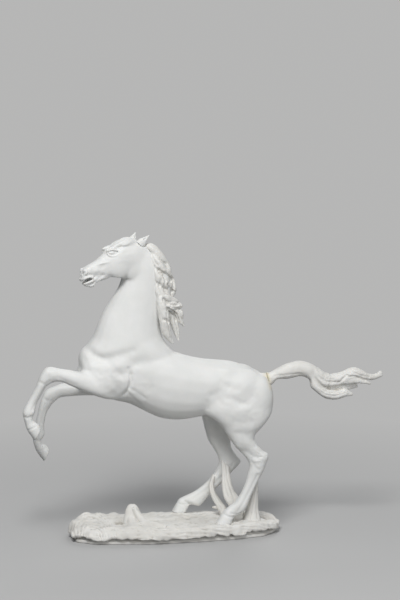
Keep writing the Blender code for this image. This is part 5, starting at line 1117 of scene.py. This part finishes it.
def wire(tree, node, **inputs):
    """Set each input, its spaces written as underscores, to a value or link it to an output."""
    for name, value in inputs.items():
        socket = node.inputs[name.replace("_", " ")]
        if isinstance(value, bpy.types.NodeSocket):
            tree.links.new(value, socket)
        else:
            socket.default_value = value
    return node


def add(tree, kind, **inputs):
    return wire(tree, tree.nodes.new("ShaderNode" + kind), **inputs)


def nodes_of(name):
    made = bpy.data.materials.new(name)
    made.use_nodes = True
    tree = made.node_tree
    return made, tree, tree.nodes["Principled BSDF"]


def noise_at(tree, scale, detail=3.0, rough=0.55, stretched=(1, 1, 1)):
    where = add(tree, "TexCoord").outputs["Object"]
    mapped = add(tree, "Mapping", Scale=stretched, Vector=where).outputs["Vector"]
    return add(tree, "TexNoise", Scale=scale, Detail=detail, Roughness=rough, Vector=mapped).outputs["Fac"]


def ramp(tree, source, low, high, dark, pale):
    made = add(tree, "ValToRGB", Fac=source)
    for i, (place, colour) in enumerate(((low, dark), (high, pale))):
        made.color_ramp.elements[i].position = place
        made.color_ramp.elements[i].color = (*colour, 1)
    return made.outputs["Color"]


def over(tree, lower, upper, share):
    """Upper colour over lower, by a mask."""
    made = tree.nodes.new("ShaderNodeMix")
    made.data_type = "RGBA"
    return wire(tree, made, Factor=share, A=lower, B=upper).outputs["Result"]


def mixed(tree, share, first, second, output):
    """Two shaders by a mask, into the output."""
    made = add(tree, "MixShader", Fac=share)
    tree.links.new(first, made.inputs[1])
    tree.links.new(second, made.inputs[2])
    wire(tree, tree.nodes[output], Surface=made.outputs["Shader"])


def spread(tree, source, low, high, out_low, out_high):
    return add(tree, "MapRange", From_Min=low, From_Max=high, To_Min=out_low, To_Max=out_high,
               Value=source).outputs["Result"]


def attribute(tree, name):
    made = add(tree, "Attribute")
    made.attribute_name = name
    return made.outputs["Fac"]


def bump(tree, height, strength, distance, **below):
    return add(tree, "Bump", Strength=strength, Distance=distance * MM, Height=height, **below).outputs["Normal"]


def bisque(name, tones, rough, grain_depth, streaked=None):
    """Unglazed porcelain: cloudy whites, a fine dry grain, and dirt with painted shade kept in the creases."""
    made, tree, shader = nodes_of(name)
    pale, shade, shade_and_grime = tones
    clouds = ramp(tree, noise_at(tree, 38, 4), 0.35, 0.7, shade, pale)
    # Painted shade and dirt: a darker tone laid into the creases, the deeper the darker; worn is the colour with
    # this painted shade
    shade_and_grime_tone = ramp(tree, noise_at(tree, 160, 3), 0.3, 0.75, shade_and_grime, shade)
    worn = over(tree, clouds, shade_and_grime_tone, spread(tree, attribute(tree, "crease_shade_and_grime"), 0.05, 0.9, 0.0, 0.8))
    yellow = ramp(tree, noise_at(tree, 500, 3), 0.3, 0.7, *STAIN_TONES)
    combed = {}
    if streaked:
        combed["Normal"] = bump(tree, noise_at(tree, 1.0, 3, 0.6, streaked), 0.5, 0.5)
    wire(tree, shader, Base_Color=over(tree, worn, yellow, attribute(tree, "stain")),
         Roughness=spread(tree, noise_at(tree, 90, 3), 0.3, 0.7, rough - 0.05, rough + 0.06),
         Subsurface_Weight=0.12, Subsurface_Radius=(1.0, 0.85, 0.7), Subsurface_Scale=0.0015,
         Normal=bump(tree, noise_at(tree, 1500, 2), 0.35, grain_depth, **combed))
    return made


def old_glue():
    """Yellowed adhesive with a thin dark crack."""
    made, tree, shader = nodes_of("yellowed_adhesive")
    tint = ramp(tree, noise_at(tree, 420, 4), 0.3, 0.75, *GLUE_TONES)
    dark = ramp(tree, noise_at(tree, 600, 2), 0.3, 0.7, *CRACK_TONES)
    wire(tree, shader, Base_Color=over(tree, tint, dark, attribute(tree, "split")),
         Roughness=spread(tree, noise_at(tree, 300, 2), 0.3, 0.7, 0.3, 0.5),
         Subsurface_Weight=0.2, Subsurface_Scale=0.001,
         Normal=bump(tree, noise_at(tree, 700, 3), 0.5, 0.25))
    return made


# Putting the pieces in place

def origin_shift():
    """From the skeleton's own origin to the part's, read off the base plate."""
    low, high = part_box("base_plate")
    edge = outline(circle(56))
    middle = (edge.min(0) + edge.max(0)) / 2
    return np.array([(low.x + high.x) / 2 / MM - middle[0], (low.y + high.y) / 2 / MM - middle[1], 0.0])


SHIFT = origin_shift()


def adhesive_stain(points):
    """Where adhesive spread over the porcelain on both sides of the break."""
    x, z = at(*TAIL_ROOT)
    slant = 0.2 * (z - points[:, 2])
    near_break = np.exp(-((points[:, 0] - x - slant - 0.8) / 3.4) ** 4)
    return 0.8 * (near_break * np.exp(-((points[:, 2] - z - 1) / 8.5) ** 6))


def place(item, stands_for, slot_name, material, crease_rounds=10, crease_depth=0.4, more_shade_and_grime=None):
    # Painted shade and dirt: the deeper a place lies under its surroundings, the darker its colour is painted
    shade_and_grime = np.clip(hollows_of(item, crease_rounds) / crease_depth, 0, 1)
    # Some pieces get more painted shade and dirt from a mask of their own
    if more_shade_and_grime:
        shade_and_grime = np.maximum(shade_and_grime, more_shade_and_grime(corners_of(item)))
    keep(item, "crease_shade_and_grime", shade_and_grime)
    keep(item, "stain", adhesive_stain(corners_of(item)))
    put_corners(item, corners_of(item) + SHIFT)
    item.data.materials.clear()
    item.data.materials.append(material)
    item.data.shade_smooth()
    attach(item, "root")
    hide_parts(*stands_for)


def build_pieces():
    body = bisque("bisque_body", BODY_TONES, 0.6, 0.06)
    hair = bisque("bisque_hair_tint", HAIR_TONES, 0.62, 0.07, (420, 420, 110))
    blown = bisque("bisque_tail_tint", HAIR_TONES, 0.62, 0.07, (90, 500, 500))
    soil = bisque("bisque_earth", SOIL_TONES, 0.68, 0.12)
    grown_wood = bisque("bisque_bark", SOIL_TONES, 0.68, 0.09, (420, 420, 70))
    place(horse(), ("trunk", "neck", "head", "forelock", "near_foreleg", "off_foreleg", "near_hind_leg",
                    "off_hind_leg"), "bisque_porcelain", body, 10, 0.8)
    for name in EARS:
        place(ear_leaf(name), (name,), "bisque_porcelain", body)
    place(mane(), ("mane_crest",), "bisque_hair", hair, 10, 0.6)
    for name in BLOWN_LOCKS:
        place(free_lock(name), (name,), "bisque_hair", hair)
    place(tail(), ("tail",), "bisque_hair", blown)
    place(adhesive(), ("tail_glue",), "old_adhesive", old_glue())
    branches = [support_shells(rows, BRANCH_WIDTH) for rows in BRANCHES]
    place(bark("branch_support", branches), ("support_branch",), "bisque_ground", grown_wood)
    stem = bark("stem_support", [support_shells(STEM, STEM_WIDTH)])
    place(stem, ("support_stem",), "bisque_ground", grown_wood)
    place(bark("stump_rock", stump_shells()), ("stump",), "bisque_ground", soil)
    # The earth's hollows are painted darker too, as shade and dirt
    place(earth(), ("ground",), "bisque_ground", soil, 16, 0.55, hollow_shade_and_grime)
    place(base_oval(), ("base_plate",), "bisque_ground", soil)


# Studio

FLOOR_TINT = (0.50, 0.50, 0.496, 1)
FLOOR_BOUNCE = (0.25, 0.25, 0.25, 1)
BACKDROP = (0.47, 0.47, 0.467, 1)
CAMERA_AIM = (-0.0041, 0.0002, 0.2398)
CAMERA_AZIMUTH = math.radians(-10.0)
CAMERA_ELEVATION = math.radians(9.0)
CAMERA_DISTANCE = 2.4
CAMERA_LENS = 144.0
FLOOR_HALF = 30.0
LAMP_TARGET = Vector((0.0, 0.0, 0.16))
# Each lamp: name, place, size and power
LAMPS = [("key", (-0.5, -1.25, 1.65), 0.7, 28), ("fill", (0.8, -1.7, 0.45), 1.2, 9),
         ("rear", (0.5, 1.3, 1.1), 0.9, 6)]
AIR_TINT = (0.95, 0.97, 1.0, 1)


def linked(name, data):
    made = bpy.data.objects.new(name, data)
    bpy.context.scene.collection.objects.link(made)
    return made


def studio():
    """A plain pale floor that runs on into the pale backdrop without a line."""
    corners = [(x * FLOOR_HALF, y * FLOOR_HALF, 0) for x, y in ((-1, -1), (1, -1), (1, 1), (-1, 1))]
    mesh = bpy.data.meshes.new("studio_floor")
    mesh.from_pydata(corners, [], [(0, 1, 2, 3)])
    floor = linked("studio_floor", mesh)
    made, tree, shader = nodes_of("pale_floor")
    seen = add(tree, "LightPath").outputs["Is Camera Ray"]
    wire(tree, shader, Base_Color=over(tree, FLOOR_BOUNCE, FLOOR_TINT, seen), Roughness=0.9,
         Specular_IOR_Level=0.2)
    reach = tree.nodes.new("ShaderNodeVectorMath")
    reach.operation = "LENGTH"
    tree.links.new(add(tree, "TexCoord").outputs["Object"], reach.inputs[0])
    faded = tree.nodes.new("ShaderNodeMath")
    faded.operation = "MULTIPLY"
    tree.links.new(spread(tree, reach.outputs["Value"], 0.2, 0.6, 0.0, 1.0), faded.inputs[0])
    tree.links.new(seen, faded.inputs[1])
    far = add(tree, "Emission", Color=BACKDROP).outputs["Emission"]
    mixed(tree, faded.outputs["Value"], shader.outputs["BSDF"], far, "Material Output")
    mesh.materials.append(made)


def lamp(name, place, size, power):
    light = bpy.data.lights.new(name, "AREA")
    light.shape = "SQUARE"
    light.size = size
    light.energy = power
    item = linked(name, light)
    item.location = place
    item.rotation_euler = (LAMP_TARGET - Vector(place)).to_track_quat("-Z", "Y").to_euler()


def lights():
    for row in LAMPS:
        lamp(*row)
    world = bpy.data.worlds.new("studio_air")
    bpy.context.scene.world = world
    world.use_nodes = True
    tree = world.node_tree
    air = wire(tree, tree.nodes["Background"], Color=AIR_TINT, Strength=0.24)
    shown = add(tree, "Background", Color=BACKDROP, Strength=1.0)
    seen = add(tree, "LightPath").outputs["Is Camera Ray"]
    mixed(tree, seen, air.outputs["Background"], shown.outputs["Background"], "World Output")


def camera():
    turn, rise = CAMERA_AZIMUTH, CAMERA_ELEVATION
    back = Vector((math.sin(turn) * math.cos(rise), -math.cos(turn) * math.cos(rise), math.sin(rise)))
    data = bpy.data.cameras.new("camera")
    data.sensor_width = 36.0
    data.lens = CAMERA_LENS
    data.clip_end = 50.0
    item = linked("camera", data)
    item.location = Vector(CAMERA_AIM) + back * CAMERA_DISTANCE
    item.rotation_mode = "QUATERNION"
    item.rotation_quaternion = (-back).to_track_quat("-Z", "Y")
    bpy.context.scene.camera = item


camera()
build_pieces()
studio()
lights()
bpy.context.scene.view_settings.view_transform = "Standard"
